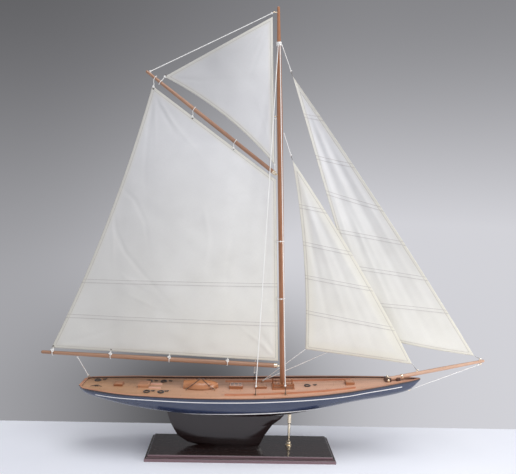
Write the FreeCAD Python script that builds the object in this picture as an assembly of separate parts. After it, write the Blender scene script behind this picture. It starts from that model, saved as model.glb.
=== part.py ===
import FreeCAD, Part
import math
import os

# Gaff cutter display model on a stand. Millimetres, +Z up, +X towards the bow, +Y to port.
# The origin is the centre of the base board's underside.

Vec = FreeCAD.Vector

# ---- stand ----
BASE_LENGTH = 252.0
BASE_WIDTH = 73.0
BASE_TIER = 4.4
BASE_THICK = 8.0
BASE_STEP = 3.9
BASE_EDGE = 1.0
BASE_BEAD = 0.9
BASE_LAP = 0.5
POST_X = 66.0
# radius and height of the turned post's foot and ball, then radius and depth below its top
POST_FOOT = [(4.4, 0.0), (4.4, 1.2), (2.2, 2.0), (3.0, 3.2), (3.2, 4.4), (3.0, 5.6), (1.6, 7.0), (1.6, 10.0)]
POST_HEAD = [(1.9, 14.0), (2.1, 12.6), (2.5, 12.0), (2.5, 0.0)]
SCREW_R = 1.3
SCREW_HEAD_R = 2.9
SCREW_HEAD_THICK = 1.4
SCREW_SINK = 1.8
SCREW_BITE = 9.0
POST_SCREW_BITE = 4.6
SCREW_FIT = 0.05

# ---- hull ----
HULL_AFT_X = -217.0
HULL_LENGTH = 462.4
BEAM = 92.0
HULL_WALL = 3.0
CAP_THICK = 1.2
CAP_WIDTH = 4.0
CAP_OVERHANG = 0.5
DECK_DROP = 1.0
DECK_THICK = 1.4
CAMBER_RADIUS = 500.0
SLAB_PAST = 4.0
RAIL_SPARE = 1.5
SLAB_SIDE = BEAM / 2 + 2.0
DECK_CUT_DEPTH = 13.4
WATERLINE_Z = 64.0
WATERLINE_SLOPE = 0.055
# fraction of length from aft, half-breadth as a share of half the beam, sheer height, rabbet height
HULL_LINES = [
    (0.0, 0.30, 92.4, 84.0),
    (0.012, 0.475, 91.8, 80.5),
    (0.035, 0.575, 91.2, 76.8),
    (0.07, 0.675, 90.4, 72.8),
    (0.14, 0.83, 89.3, 66.0),
    (0.23, 0.912, 88.6, 59.6),
    (0.33, 0.972, 88.4, 55.0),
    (0.45, 1.0, 89.0, 53.0),
    (0.55, 0.985, 90.6, 54.0),
    (0.64, 0.93, 92.7, 59.8),
    (0.72, 0.82, 95.2, 68.0),
    (0.80, 0.66, 98.2, 75.4),
    (0.88, 0.45, 101.6, 80.6),
    (0.94, 0.27, 104.2, 86.2),
    (0.975, 0.15, 105.6, 92.5),
    (1.0, 0.035, 106.7, 103.5),
]
SECTION_FULLNESS = 2.3
LEAST_HALF_BREADTH = 0.35
LEAST_DEPTH = 1.0
STEM_WALLS = 3
PAST_HULL = 20.0
SECTION_STEPS = 9
LOFT_STATIONS = 22
PLAN_STATIONS = 30

# ---- keel fin ----
KEEL_THICK = 12.0
KEEL_SOLE_THICK = 10.0
KEEL_EDGE_THICK = 1.8
KEEL_SHOULDER = 0.82
KEEL_BELLY = 0.6
# height above the base board, aft edge, forward edge
KEEL_EDGES = [
    (0.0, -58.0, 25.0),
    (4.0, -73.2, 27.5),
    (13.0, -87.0, 31.5),
    (29.0, -96.4, 42.4),
    (37.5, -99.4, 53.5),
    (44.5, -101.8, 59.5),
    (54.0, -104.0, 66.0),
]

# ---- spars ----
MAST_X = 55.2
MAST_RAKE = 2.75
MAST_R = 3.8
MAST_TOP_R = 1.8
MAST_TOP_Z = 600.5
MAST_TAPER_Z = 470.0
MAST_STEP_HEIGHT = 9.0
MAST_FIT = 0.05
HINGE_OFFSET = 6.0
BOOM_Z = 119.9
BOOM_LENGTH = 318.5
BOOM_RISE = 2.1
BOOM_R = 3.05
BOOM_TIP_R = 2.2
GAFF_Z = 381.0
GAFF_LENGTH = 217.0
GAFF_ANGLE = 36.2
GAFF_R = 2.7
GAFF_TIP_R = 1.9
FERRULE_END = 6.0
SPAR_FULL = 0.62
BOWSPRIT_HEEL = 47.0
BOWSPRIT_LENGTH = 138.5
BOWSPRIT_STEEVE = 12.0
BOWSPRIT_R = 2.6
BOWSPRIT_TIP_R = 1.9
BOWSPRIT_LIFT = 1.7

# ---- wire fittings and thread ----
EYE_HOLE_R = 0.75
EYE_WIRE_R = 0.45
PIN_FIT = 0.05
FORK_THICK = 0.8
FORK_FIT = 0.1
FORK_HALF_WIDTH = 1.5
LINK_R = 1.5
LINK_WIRE_R = 0.4
LINK_PITCH = 1.6
THREAD_R = 0.5
SHROUD_R = 0.6
TIE_R = 0.4
SOFT_GAP = 0.3
BEND_REACH = 0.45
HOUNDS_Z = 553.5
SHROUD_SPREAD = 29.6
SHROUD_EYE_X = [56.0, 16.5]
SHROUD_TOP_LEAD = [1.1, -1.1]
SHROUD_TOP_GAP = 1.4
SHROUD_HOOK_HEIGHT = 9.5

# ---- sails ----
SAIL_THICK = 0.9
MAIN_FOOT_GAP = 3.4
MAIN_CLEW_ALONG = 307.0
MAIN_THROAT_DROP = 7.5
MAIN_PEAK_DROP = 12.6
MAIN_PEAK_ALONG = 208.0
MAIN_LEECH_HOLLOW = 8.5
TOP_HEAD_DROP = 12.0
TOP_TACK_RISE = 13.0
TOP_LUFF_OFFSET = 8.0
TOP_CLEW_ALONG = 189.0
TOP_CLEW_RISE = 11.0
TOP_FOOT_HOLLOW = 9.5
JIB_HALYARD_Z = 552.0
JIB_HEAD_OFFSET = (15.8, -39.9)
JIB_TACK_OFFSET = (-8.5, 4.4)
JIB_CLEW = (172.0, 12.0, 163.0)
JIB_LUFF_ROUND = 3.7
JIB_FOOT_ROUND = 2.5
STAYSAIL_HALYARD_Z = 436.0
STAYSAIL_HEAD_OFFSET = (12.9, -35.5)
STAYSAIL_TACK_OFFSET = (-7.4, 8.6)
STAYSAIL_CLEW = (85.3, 6.0, 142.0)
STAYSAIL_LUFF_ROUND = 5.0
STAYSAIL_LEECH_HOLLOW = 6.5
HEAD_HOOK_LENGTH = 3.0
EYE_STAND = 1.6
STAY_STANDOFF = 1.6
SHEET_EYE = (27.0, 22.0)
MAINSHEET_EYE_X = -213.4
MAINSHEET_ALONG = 272.5

MAST_STEP_LENGTH = 26.0
MAST_STEP_WIDTH = 18.0
BULKHEAD_THICK = 3.0
# places of the frames as shares of the hull's length from aft
BULKHEADS = [0.11, 0.25, 0.40, 0.69, 0.83]
TAFFRAIL_LENGTH = 7.0
THROAT_TIE_Z = 458.0
PEAK_TIE_Z = 594.5
HALYARD_ALONG = 213.0
JIB_TACK_ALONG = 134.0
STAYSAIL_TACK_ALONG = 44.0
DINGHY_EYE_SPREAD = 19.0
DINGHY_EYE_OUT = 12.5
HEEL_BLOCK = (6.0, 10.0)
HEEL_BACK = 2.0
CHOCK_ALONG = 17.0
CHOCK = (5.0, 7.0)
BAND_ALONG = 21.5
BAND_WIDTH = 2.0
BAND_THICK = 0.5
HEEL_BEAD_R = 1.2
STEM_EYE_BACK = 13.6
EYE_BITE = 2.2
STEM_EYE_BITE = 5.0
FOOT_TIES = [70.0, 149.0, 228.0]
HEAD_TIES = [70.0, 139.0]
HOOP_HEIGHTS = [213.0, 291.0]
HOOP_AFT = 1.2
CLEW_TIE_BACK = 2.0
PEAK_TIE_BACK = 4.0
TOP_CLEW_TIE_ALONG = 195.0
SHEET_SPREAD = 0.7

HULL_FORE_X = HULL_AFT_X + HULL_LENGTH

# ---- deck fittings: centre x, length, width, height ----
AFT_HATCH = (-168.0, 12.0, 13.0, 2.6)
COMPANION = (-134.0, 15.0, 18.0, 4.4)
SKYLIGHT = (-9.0, 19.0, 14.0, 4.4)
MID_HATCH = (24.5, 17.0, 13.0, 2.8)
FORE_HATCH = (HULL_FORE_X - 98.0, 12.5, 13.0, 3.8)
SLIDE_RAIL_LENGTH = 16.0
SLIDE_RAIL_SPREAD = 7.6
SLIDE_WIDTH = 1.6
SLIDE_HEIGHT = 1.5
DINGHY_X = -57.0
DINGHY_LENGTH = 47.0
DINGHY_WIDTH = 24.0
DINGHY_HEIGHT = 10.5
# position from transom to stem, share of the half-width, and share of the height
DINGHY_PLAN = [(0, 0.52), (0.2, 0.82), (0.45, 1.0), (0.7, 0.84), (0.9, 0.42), (1, 0.06)]
DINGHY_PROFILE = [(0, 0.84), (0.3, 0.98), (0.5, 1.0), (0.8, 0.9), (1, 0.62)]
DINGHY_STATIONS = 11
DINGHY_SKIRT = 2.0
DINGHY_FULLNESS = 0.8
LASHING_STANDOFF = 1.2
# x and distance in from the hull's side of the aft end, the middle and the fore end of each strip
STRIP_LINE = [(-24.0, 18.2), (64.0, 18.9), (HULL_FORE_X - 93.4, 13.5)]
STRIP_STATIONS = 9
STRIP_WIDTH = 2.4
STRIP_HEIGHT = 1.8
FIFE_LENGTH = 31.0
FIFE_WIDTH = 22.0
FIFE_PLATE = 1.3
FIFE_HEIGHT = 6.0
FIFE_POST_R = 0.9
FIFE_POST_INSET = 2.0
FIFE_KNOB_R = 1.2
FIFE_RAIL_WIDTH = 2.0
FIFE_RAIL_DEPTH = 1.2
FIFE_RAIL_DROP = 1.4
SINK = 1.5
COIL_R = 4.9
COIL_INNER_R = 2.6
COIL_HEIGHT = 1.6
CLEAT_LENGTH = 6.0
CLEAT_HEIGHT = 1.5
CLEAT_R = 0.55
# x, y, heading of each cleat in degrees
CLEATS = [
    (-119.0, -19.5, 20.0),
    (-101.0, -19.0, 20.0),
    (-121.0, 21.0, -20.0),
    (-101.0, 22.5, -20.0),
    (-191.0, 17.0, 35.0),
    (-195.0, -11.0, 15.0),
    (99.5, 0.5, 10.0),
]
# x, y of each coil of rope
COILS = [
    (-127.0, -21.5),
    (-108.5, -21.5),
    (-130.0, 20.0),
    (-110.5, 21.0),
    (-199.5, 12.0),
    (89.0, 0.0),
]

PARTS = {}


def keep(name, *shapes):
    solids = [solid for shape in shapes for solid in shape.Solids]
    PARTS[name] = solids[0] if len(solids) == 1 else Part.makeCompound(solids)
    return PARTS[name]


def lerp(a, b, t):
    return a + (b - a) * t


def smooth(points, x):
    """Cubic through a list of (x, y): slopes come from the neighbours."""
    points = sorted(points)
    x = min(max(x, points[0][0]), points[-1][0])
    i = 0
    while i < len(points) - 2 and x > points[i + 1][0]:
        i += 1

    def slope(k):
        low, high = max(k - 1, 0), min(k + 1, len(points) - 1)
        return (points[high][1] - points[low][1]) / (points[high][0] - points[low][0])

    (x0, y0), (x1, y1) = points[i], points[i + 1]
    h = x1 - x0
    t = (x - x0) / h
    rise = (2 * t**3 - 3 * t**2 + 1) * y0 + (3 * t**2 - 2 * t**3) * y1
    return rise + h * ((t**3 - 2 * t**2 + t) * slope(i) + (t**3 - t**2) * slope(i + 1))


def cylinder(a, b, radius, end_radius=None):
    along = b - a
    if end_radius is None or abs(end_radius - radius) < 1e-6:
        return Part.makeCylinder(radius, along.Length, a, along)
    return Part.makeCone(radius, end_radius, along.Length, a, along)


def ring(centre, normal, radius, wire):
    return Part.makeTorus(radius, wire, centre, normal)


def box(x0, x1, y0, y1, z0, z1):
    return Part.makeBox(x1 - x0, y1 - y0, z1 - z0, Vec(x0, y0, z0))


def fuse(*shapes):
    return shapes[0].fuse(list(shapes[1:])).removeSplitter()


def loft(wires):
    return Part.makeLoft(wires, True, False)


def turned(profile, centre):
    """Solid of revolution about the vertical through centre, from (radius, height) points."""
    points = [Vec(centre.x + r, centre.y, centre.z + z) for r, z in profile]
    face = Part.Face(Part.makePolygon(points + [points[0]]))
    return face.revolve(centre, Vec(0, 0, 1), 360)


def thread(points, radius):
    """Round cord along straight runs joined by tangent arcs."""
    if len(points) == 2:
        return cylinder(points[0], points[1], radius)
    edges = []
    start = points[0]
    for before, corner, after in zip(points, points[1:], points[2:]):
        back, ahead = before - corner, after - corner
        shorter = min(back.Length, ahead.Length)
        back.normalize()
        ahead.normalize()
        reach = BEND_REACH * shorter
        half_turn = (math.pi - back.getAngle(ahead)) / 2
        enter, leave = corner + back * reach, corner + ahead * reach
        inward = back + ahead
        inward.normalize()
        bend = reach / math.tan(half_turn)
        middle = corner + inward * (bend / math.cos(half_turn) - bend)
        edges.append(Part.LineSegment(start, enter).toShape())
        edges.append(Part.Arc(enter, middle, leave).toShape())
        start = leave
    edges.append(Part.LineSegment(start, points[-1]).toShape())
    path = Part.Wire(edges)
    section = Part.Wire(Part.makeCircle(radius, points[0], points[1] - points[0]))
    return path.makePipeShell([section], True, True)


# ---- hull lines ----
def hull_value(x, column):
    table = [(HULL_AFT_X + row[0] * HULL_LENGTH, row[column]) for row in HULL_LINES]
    return smooth(table, x)


def half_breadth(x):
    return hull_value(x, 1) * BEAM / 2


def sheer(x):
    return hull_value(x, 2)


def rabbet(x):
    return hull_value(x, 3)


def deck_z(x, y=0.0):
    return sheer(x) - DECK_DROP - y * y / (2 * CAMBER_RADIUS)


def section_wire(x, inset, top):
    """Round hull section at x, drawn in by inset and closed by a straight line at height top."""
    width = max(half_breadth(x) - inset, LEAST_HALF_BREADTH)
    low = min(rabbet(x) + inset, top - LEAST_DEPTH)
    points = []
    for k in range(-SECTION_STEPS, SECTION_STEPS + 1):
        turn = math.pi / 2 * k / SECTION_STEPS
        across = math.copysign(abs(math.sin(turn)) ** (2 / SECTION_FULLNESS), turn) if k else 0.0
        points.append(Vec(x, width * across, top - (top - low) * math.cos(turn)))
    curve = Part.BSplineCurve()
    curve.interpolate(points)
    return Part.Wire([curve.toShape(), Part.makeLine(points[-1], points[0])])


def station_places(start, end, count):
    """Stations between start and end, closer together towards both ends."""
    middle, half = (start + end) / 2, (end - start) / 2
    return [middle - half * math.cos(math.pi * k / (count - 1)) for k in range(count)]


def hull_body(inset, rise):
    places = station_places(HULL_AFT_X + inset, HULL_FORE_X - STEM_WALLS * inset, LOFT_STATIONS)
    return loft([section_wire(x, inset, sheer(x) - CAP_THICK + rise) for x in places])


def waterline_z(x):
    return WATERLINE_Z + WATERLINE_SLOPE * x


def below_waterline():
    aft, fore = HULL_AFT_X - PAST_HULL, HULL_FORE_X + PAST_HULL
    corners = [Vec(aft, -BEAM, 0), Vec(fore, -BEAM, 0), Vec(fore, -BEAM, waterline_z(fore))]
    corners.append(Vec(aft, -BEAM, waterline_z(aft)))
    return Part.Face(Part.makePolygon(corners + [corners[0]])).extrude(Vec(0, 2 * BEAM, 0))


def slab(drop, thick, cambered):
    """Full-width sheet that follows the sheer, its top drop below the rail and its underside flat across."""
    wires = []
    side = SLAB_SIDE
    for x in station_places(HULL_AFT_X - SLAB_PAST, HULL_FORE_X + SLAB_PAST, LOFT_STATIONS):
        crown = sheer(x) - drop
        edge = crown - side * side / (2 * CAMBER_RADIUS) if cambered else crown
        low = edge - thick
        right, left = Vec(x, side, edge), Vec(x, -side, edge)
        top = Part.Arc(left, Vec(x, 0, crown), right).toShape() if cambered else Part.makeLine(left, right)
        corners = [right, Vec(x, side, low), Vec(x, -side, low), left]
        wires.append(Part.Wire([top] + [Part.makeLine(a, b) for a, b in zip(corners, corners[1:])]))
    return loft(wires)


def plan_prism(inset):
    """Upright prism over the hull's plan outline, drawn in by inset."""
    places = station_places(HULL_AFT_X + inset, HULL_FORE_X - inset, PLAN_STATIONS)
    port = [Vec(x, max(half_breadth(x) - inset, LEAST_HALF_BREADTH), 0) for x in places]
    starboard = [Vec(p.x, -p.y, 0) for p in port]
    edges = []
    for side in (port, starboard):
        curve = Part.BSplineCurve()
        curve.interpolate(side)
        edges.append(curve.toShape())
    edges.append(Part.makeLine(port[0], starboard[0]))
    edges.append(Part.makeLine(port[-1], starboard[-1]))
    wire = Part.Wire(Part.__sortEdges__(edges))
    return Part.Face(wire).extrude(Vec(0, 0, 2 * sheer(HULL_FORE_X)))


# ---- stand ----
def base_board():
    def plank(length, width, low, high):
        return box(-length / 2, length / 2, -width / 2, width / 2, low, high)

    low = BASE_TIER - BASE_LAP
    lower = plank(BASE_LENGTH, BASE_WIDTH, 0, BASE_TIER)
    lower = lower.makeFillet(BASE_EDGE, [e for e in lower.Edges if e.BoundBox.ZMin > BASE_TIER - 0.01])
    upper = plank(BASE_LENGTH - 2 * BASE_STEP, BASE_WIDTH - 2 * BASE_STEP, low, BASE_THICK)
    upper = upper.makeFillet(BASE_EDGE, [e for e in upper.Edges if e.BoundBox.ZMin > BASE_THICK - 0.01])
    bead = plank(BASE_LENGTH - BASE_STEP, BASE_WIDTH - BASE_STEP, low, BASE_TIER + BASE_BEAD)
    return fuse(lower, upper, bead)


SCREW_PLACES = [KEEL_EDGES[0][1] + 20.0, KEEL_EDGES[0][2] - 15.0, POST_X]


def stand_screw(x, slack=0.0):
    seat = SCREW_SINK + SCREW_HEAD_THICK
    bite = POST_SCREW_BITE if x == POST_X else SCREW_BITE
    head = cylinder(Vec(x, 0, SCREW_SINK - slack), Vec(x, 0, seat), SCREW_HEAD_R + slack)
    shank = cylinder(Vec(x, 0, seat), Vec(x, 0, BASE_THICK + bite + slack), SCREW_R + slack)
    return fuse(head, shank)


def screw_hole(x):
    mouth = cylinder(Vec(x, 0, -1), Vec(x, 0, SCREW_SINK), SCREW_HEAD_R + SCREW_FIT)
    return fuse(stand_screw(x, SCREW_FIT), mouth)


def support_post(top_z):
    """Turned brass post: round foot, a ball, a tapered stem and a wider barrel at the top."""
    tall = top_z - BASE_THICK
    head = [(radius, tall - depth) for radius, depth in POST_HEAD]
    return turned([(0, 0)] + POST_FOOT + head + [(0, tall)], Vec(POST_X, 0, BASE_THICK))


def keel_fin():
    """Lens-shaped fin: its fore and aft edges follow KEEL_EDGES up into the hull's bottom."""
    wires = []
    for height, aft, fore in KEEL_EDGES:
        z = BASE_THICK + height
        half = (KEEL_THICK if height else KEEL_SOLE_THICK) / 2
        edge = KEEL_EDGE_THICK / 2
        belly = lerp(aft, fore, KEEL_BELLY)
        outline = [(aft, edge), (lerp(aft, belly, 0.4), KEEL_SHOULDER * half), (belly, half)]
        outline += [(lerp(belly, fore, 0.7), KEEL_SHOULDER * half), (fore, edge)]
        edges = []
        for side in (1, -1):
            curve = Part.BSplineCurve()
            curve.interpolate([Vec(x, side * y, z) for x, y in outline])
            edges.append(curve.toShape())
        edges.append(Part.makeLine(Vec(aft, edge, z), Vec(aft, -edge, z)))
        edges.append(Part.makeLine(Vec(fore, edge, z), Vec(fore, -edge, z)))
        wires.append(Part.Wire(Part.__sortEdges__(edges)))
    return Part.makeLoft(wires, True, True)


# ---- spar geometry ----
RAKE = math.radians(MAST_RAKE)
MAST_DIR = Vec(-math.sin(RAKE), 0, math.cos(RAKE))


def mast_point(z, aft=0.0):
    """Point at height z on the line that runs aft of the mast's axis by the given distance."""
    return Vec(MAST_X - (z - deck_z(MAST_X)) * math.tan(RAKE) - aft, 0, z)


def mast_radius(z):
    return MAST_R if z < MAST_TAPER_Z else lerp(
        MAST_R, MAST_TOP_R, (z - MAST_TAPER_Z) / (MAST_TOP_Z - MAST_TAPER_Z))


BOOM_DIR = Vec(-math.cos(math.radians(BOOM_RISE)), 0, math.sin(math.radians(BOOM_RISE)))
GAFF_DIR = Vec(-math.cos(math.radians(GAFF_ANGLE)), 0, math.sin(math.radians(GAFF_ANGLE)))
SPRIT_DIR = Vec(math.cos(math.radians(BOWSPRIT_STEEVE)), 0, math.sin(math.radians(BOWSPRIT_STEEVE)))
BOOM_EYE = mast_point(BOOM_Z, HINGE_OFFSET)
GAFF_EYE = mast_point(GAFF_Z, HINGE_OFFSET)
SPRIT_HEEL = Vec(HULL_FORE_X - BOWSPRIT_HEEL, 0, sheer(HULL_FORE_X - BOWSPRIT_HEEL) + BOWSPRIT_LIFT)
UP = Vec(0, 0, 1)


def boom_point(along, above=0.0):
    return BOOM_EYE + BOOM_DIR * along + UP * above


def gaff_point(along, above=0.0):
    return GAFF_EYE + GAFF_DIR * along + UP * above


def sprit_point(along, above=0.0):
    return SPRIT_HEEL + SPRIT_DIR * along + UP * above


def mast_foot_z():
    return rabbet(MAST_X) + HULL_WALL + MAST_STEP_HEIGHT / 2


def mast():
    foot = mast_foot_z()
    shoulder = mast_point(MAST_TAPER_Z)
    button = mast_point(MAST_TOP_Z)
    return fuse(
        cylinder(mast_point(foot), shoulder, MAST_R),
        cylinder(shoulder, button, MAST_R, MAST_TOP_R),
        Part.makeSphere(MAST_TOP_R, button),
    )


def tapered_spar(foot, along, length, radius, tip_radius):
    """Round spar: full for its first part, then tapering to a rounded tip."""
    shoulder, tip = foot + along * (length * SPAR_FULL), foot + along * length
    return fuse(
        cylinder(foot, shoulder, radius),
        cylinder(shoulder, tip, radius, tip_radius),
        Part.makeSphere(tip_radius, tip),
    )


def screw_eye(centre, shank_to, axis):
    """Wire ring about axis, with a straight shank from the ring to a point inside the timber."""
    radius = EYE_HOLE_R + EYE_WIRE_R
    shank = shank_to - centre
    shank.normalize()
    wire = cylinder(centre + shank * radius, shank_to, EYE_WIRE_R)
    return fuse(ring(centre, axis, radius, EYE_WIRE_R), wire)


def placed(shape, origin, x_dir, z_dir):
    """Copy of a shape built at the origin, moved to origin with its X and Z along the given directions."""
    turn = FreeCAD.Rotation(x_dir, z_dir.cross(x_dir), z_dir, "ZXY")
    moved = shape.copy()
    moved.Placement = FreeCAD.Placement(origin, turn)
    return moved


def spar_fork(eye, along, spar_radius):
    """Brass fork: ears above and below a mast eye, the hinge pin through them, and a ferrule on the spar."""
    inner = EYE_WIRE_R + FORK_FIT
    outer = inner + FORK_THICK
    ring_edge = EYE_HOLE_R + 2 * EYE_WIRE_R
    reach = ring_edge + 2 * FORK_FIT + FORK_THICK
    width = FORK_HALF_WIDTH
    upper = box(-width, reach, -width, width, inner, outer)
    lower = box(-width, reach, -width, width, -outer, -inner)
    web = box(reach - FORK_THICK, reach, -width, width, -outer, outer)
    pin = cylinder(Vec(0, 0, -outer), Vec(0, 0, outer), EYE_HOLE_R - PIN_FIT)
    level = MAST_DIR.cross(Vec(0, 1, 0))
    fork = placed(fuse(upper, lower, web, pin), eye, level, MAST_DIR)
    ferrule = cylinder(eye + along * (ring_edge + 2 * FORK_FIT), eye + along * FERRULE_END, spar_radius)
    return fuse(fork, ferrule)


# ---- sails ----
def sail_plate(corners, bows):
    """Flat cloth through the corners; each edge is an arc that stands out by its bow, or in if negative."""
    middle = Vec(0, 0, 0)
    for corner in corners:
        middle = middle + corner * (1.0 / len(corners))
    normal = (corners[1] - corners[0]).cross(corners[-1] - corners[0])
    normal.normalize()
    edges = []
    for a, b, bow in zip(corners, corners[1:] + corners[:1], bows):
        if abs(bow) < 0.01:
            edges.append(Part.makeLine(a, b))
            continue
        outward = (b - a).cross(normal)
        outward.normalize()
        if outward.dot(middle - a) > 0:
            outward = outward * -1.0
        edges.append(Part.Arc(a, (a + b) * 0.5 + outward * bow, b).toShape())
    face = Part.Face(Part.Wire(edges))
    face.translate(normal * (-SAIL_THICK / 2))
    return face.extrude(normal * SAIL_THICK)


def headsail_line(mast_height, tack_along, spar_radius):
    """Line a headsail swings on: from the mast's fore side to an eye standing on the bowsprit."""
    top = mast_point(mast_height, -mast_radius(mast_height) - STAY_STANDOFF)
    bottom = sprit_point(tack_along, spar_radius + EYE_STAND)
    return top, bottom


def headsail(top, bottom, head_offset, tack_offset, clew, bows):
    """Sail held at head and tack between the mast and the bowsprit, with the places of its head and tack."""
    head = top + Vec(head_offset[0], 0, head_offset[1])
    tack = bottom + Vec(tack_offset[0], 0, tack_offset[1])
    return sail_plate([head, tack, clew], bows), head, tack


def headsail_rigging(top, bottom, head, tack):
    """Halyard from the mast, the hook at the head, and the hook from the tack into the bowsprit's eye."""
    up_line = top - head
    up_line.normalize()
    link = head + up_line * (SOFT_GAP + HEAD_HOOK_LENGTH + LINK_R)
    face = up_line.cross(Vec(0, 1, 0))
    wire = cylinder(head + up_line * SOFT_GAP, link - up_line * LINK_R, LINK_WIRE_R)
    head_hook = fuse(wire, ring(link, face, LINK_R, LINK_WIRE_R))
    halyard = thread([link + up_line * (LINK_R + LINK_WIRE_R), top], THREAD_R)
    out_line = bottom - tack
    out_line.normalize()
    link = bottom - out_line * LINK_PITCH
    face = out_line.cross(Vec(0, 1, 0))
    wire = cylinder(tack + out_line * SOFT_GAP, link - out_line * LINK_R, LINK_WIRE_R)
    tack_hook = fuse(wire, ring(link, face, LINK_R, LINK_WIRE_R))
    return [head_hook, tack_hook], halyard


# ---- deck fittings ----
def seated(shape):
    """Cut a fitting's underside to the deck's curved surface."""
    return shape.cut(DECK_CUTTER)


def deck_box(fitting):
    x, length, width, height = fitting
    top = deck_z(x) + height
    low = min(deck_z(x - length / 2, width / 2), deck_z(x + length / 2, width / 2)) - SINK
    return box(x - length / 2, x + length / 2, -width / 2, width / 2, low, top)


def hatch(fitting, lip):
    """Hatch box with a slightly wider lid."""
    x, length, width, height = fitting
    top = deck_z(x) + height
    body = deck_box((x, length - 2 * lip, width - 2 * lip, height - lip))
    lid = box(x - length / 2, x + length / 2, -width / 2, width / 2, top - 2 * lip, top)
    rim = [edge for edge in lid.Edges if edge.BoundBox.ZMin > top - 0.01]
    return seated(fuse(body, lid.makeFillet(lip / 2, rim)))


def dinghy_half_width(x):
    return DINGHY_WIDTH / 2 * smooth(DINGHY_PLAN, (x - DINGHY_X) / DINGHY_LENGTH + 0.5)


def dinghy_height(x):
    return DINGHY_HEIGHT * smooth(DINGHY_PROFILE, (x - DINGHY_X) / DINGHY_LENGTH + 0.5)


def dinghy():
    """Upturned ship's boat with its gunwale on the deck."""
    base = deck_z(DINGHY_X)
    wires = []
    for x in station_places(DINGHY_X - DINGHY_LENGTH / 2, DINGHY_X + DINGHY_LENGTH / 2, DINGHY_STATIONS):
        half, high = dinghy_half_width(x), dinghy_height(x)
        points = []
        for k in range(-5, 6):
            turn = math.pi / 2 * k / 5
            points.append(Vec(x, half * math.sin(turn), base + high * math.cos(turn) ** DINGHY_FULLNESS))
        curve = Part.BSplineCurve()
        curve.interpolate(points)
        skirt = base - DINGHY_SKIRT
        ends = [points[-1], Vec(x, half, skirt), Vec(x, -half, skirt), points[0]]
        wires.append(Part.Wire([curve.toShape()] + [Part.makeLine(a, b) for a, b in zip(ends, ends[1:])]))
    return seated(loft(wires))


def dinghy_lashing(eyes):
    """Two cords from the starboard eyes up over the boat's keel and down to the port eyes."""
    cords = []
    ridge_z = deck_z(DINGHY_X) + DINGHY_HEIGHT
    for aft_fore in (-1, 1):
        start = eyes[aft_fore, -1]
        end = eyes[aft_fore, 1]
        ridge_x = DINGHY_X + aft_fore * 2.0
        route = [start]
        for side in (-1, 1):
            shoulder_x = lerp(ridge_x, start.x, 0.45)
            half = dinghy_half_width(shoulder_x)
            shoulder = Vec(shoulder_x, side * half * 0.9, deck_z(DINGHY_X) + dinghy_height(shoulder_x) * 0.72)
            crown = Vec(ridge_x, side * 2.5, ridge_z + TIE_R + LASHING_STANDOFF)
            route += [shoulder, crown] if side < 0 else [crown, shoulder]
        route.append(end)
        cords.append(thread(route, TIE_R))
    return cords


def side_strip(side):
    """Long low rail along the deck, following the sheer and drawing in towards the bow."""
    wires = []
    for k in range(STRIP_STATIONS):
        x = lerp(STRIP_LINE[0][0], STRIP_LINE[-1][0], k / (STRIP_STATIONS - 1))
        y = side * (half_breadth(x) - smooth(STRIP_LINE, x))
        top = deck_z(x, y) + STRIP_HEIGHT
        low = deck_z(x, y) - SINK
        half = STRIP_WIDTH / 2
        corners = [Vec(x, y - half, low), Vec(x, y + half, low), Vec(x, y + half, top), Vec(x, y - half, top)]
        wires.append(Part.makePolygon(corners + [corners[0]]))
    return seated(loft(wires))


def fife_rail():
    """Plate round the mast with four posts and a pin rail along each side."""
    ground = deck_z(MAST_X)
    half_length, half_width = FIFE_LENGTH / 2, FIFE_WIDTH / 2
    x0, x1 = MAST_X - half_length, MAST_X + half_length
    top = ground + FIFE_PLATE + FIFE_HEIGHT
    rail_top = top - FIFE_RAIL_DROP
    pieces = [box(x0, x1, -half_width, half_width, ground - SINK, ground + FIFE_PLATE)]
    for side in (-1, 1):
        y = side * (half_width - FIFE_POST_INSET)
        for x in (x0 + FIFE_POST_INSET, x1 - FIFE_POST_INSET):
            pieces.append(cylinder(Vec(x, y, ground), Vec(x, y, top), FIFE_POST_R))
            pieces.append(Part.makeSphere(FIFE_KNOB_R, Vec(x, y, top)))
        rail_y = (y - FIFE_RAIL_WIDTH / 2, y + FIFE_RAIL_WIDTH / 2)
        pieces.append(box(x0 + FIFE_POST_R, x1 - FIFE_POST_R, *rail_y, rail_top - FIFE_RAIL_DEPTH, rail_top))
    return seated(fuse(*pieces).cut(MAST_HOLE))


def cleat(x, y, heading):
    ground = deck_z(x, y)
    half = CLEAT_LENGTH / 2
    feet = [cylinder(Vec(x, 0, -SINK), Vec(x, 0, CLEAT_HEIGHT), CLEAT_R) for x in (-half / 3, half / 3)]
    horn = cylinder(Vec(-half, 0, CLEAT_HEIGHT), Vec(half, 0, CLEAT_HEIGHT), CLEAT_R)
    piece = fuse(horn, *feet)
    piece.rotate(Vec(0, 0, 0), Vec(0, 0, 1), heading)
    piece.translate(Vec(x, y, ground))
    return seated(piece)


def rope_coil(x, y):
    profile = [(COIL_INNER_R, -SINK), (COIL_R, -SINK), (COIL_R, COIL_HEIGHT), (COIL_INNER_R, COIL_HEIGHT)]
    return seated(turned(profile, Vec(x, y, deck_z(x, y))))


def deck_eye(x, y, facing=Vec(1, 0, 0)):
    """Screw eye standing on the deck."""
    centre = Vec(x, y, deck_z(x, y) + EYE_HOLE_R + 2 * EYE_WIRE_R)
    return screw_eye(centre, centre - UP * (EYE_HOLE_R + 2 * EYE_WIRE_R + DECK_THICK), facing), centre


def clear_end(ring_centre, toward):
    """Where a thread stops short of a ring, on its way from the point toward."""
    away = toward - ring_centre
    away.normalize()
    return ring_centre + away * (EYE_HOLE_R + 2 * EYE_WIRE_R + SOFT_GAP)


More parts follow.
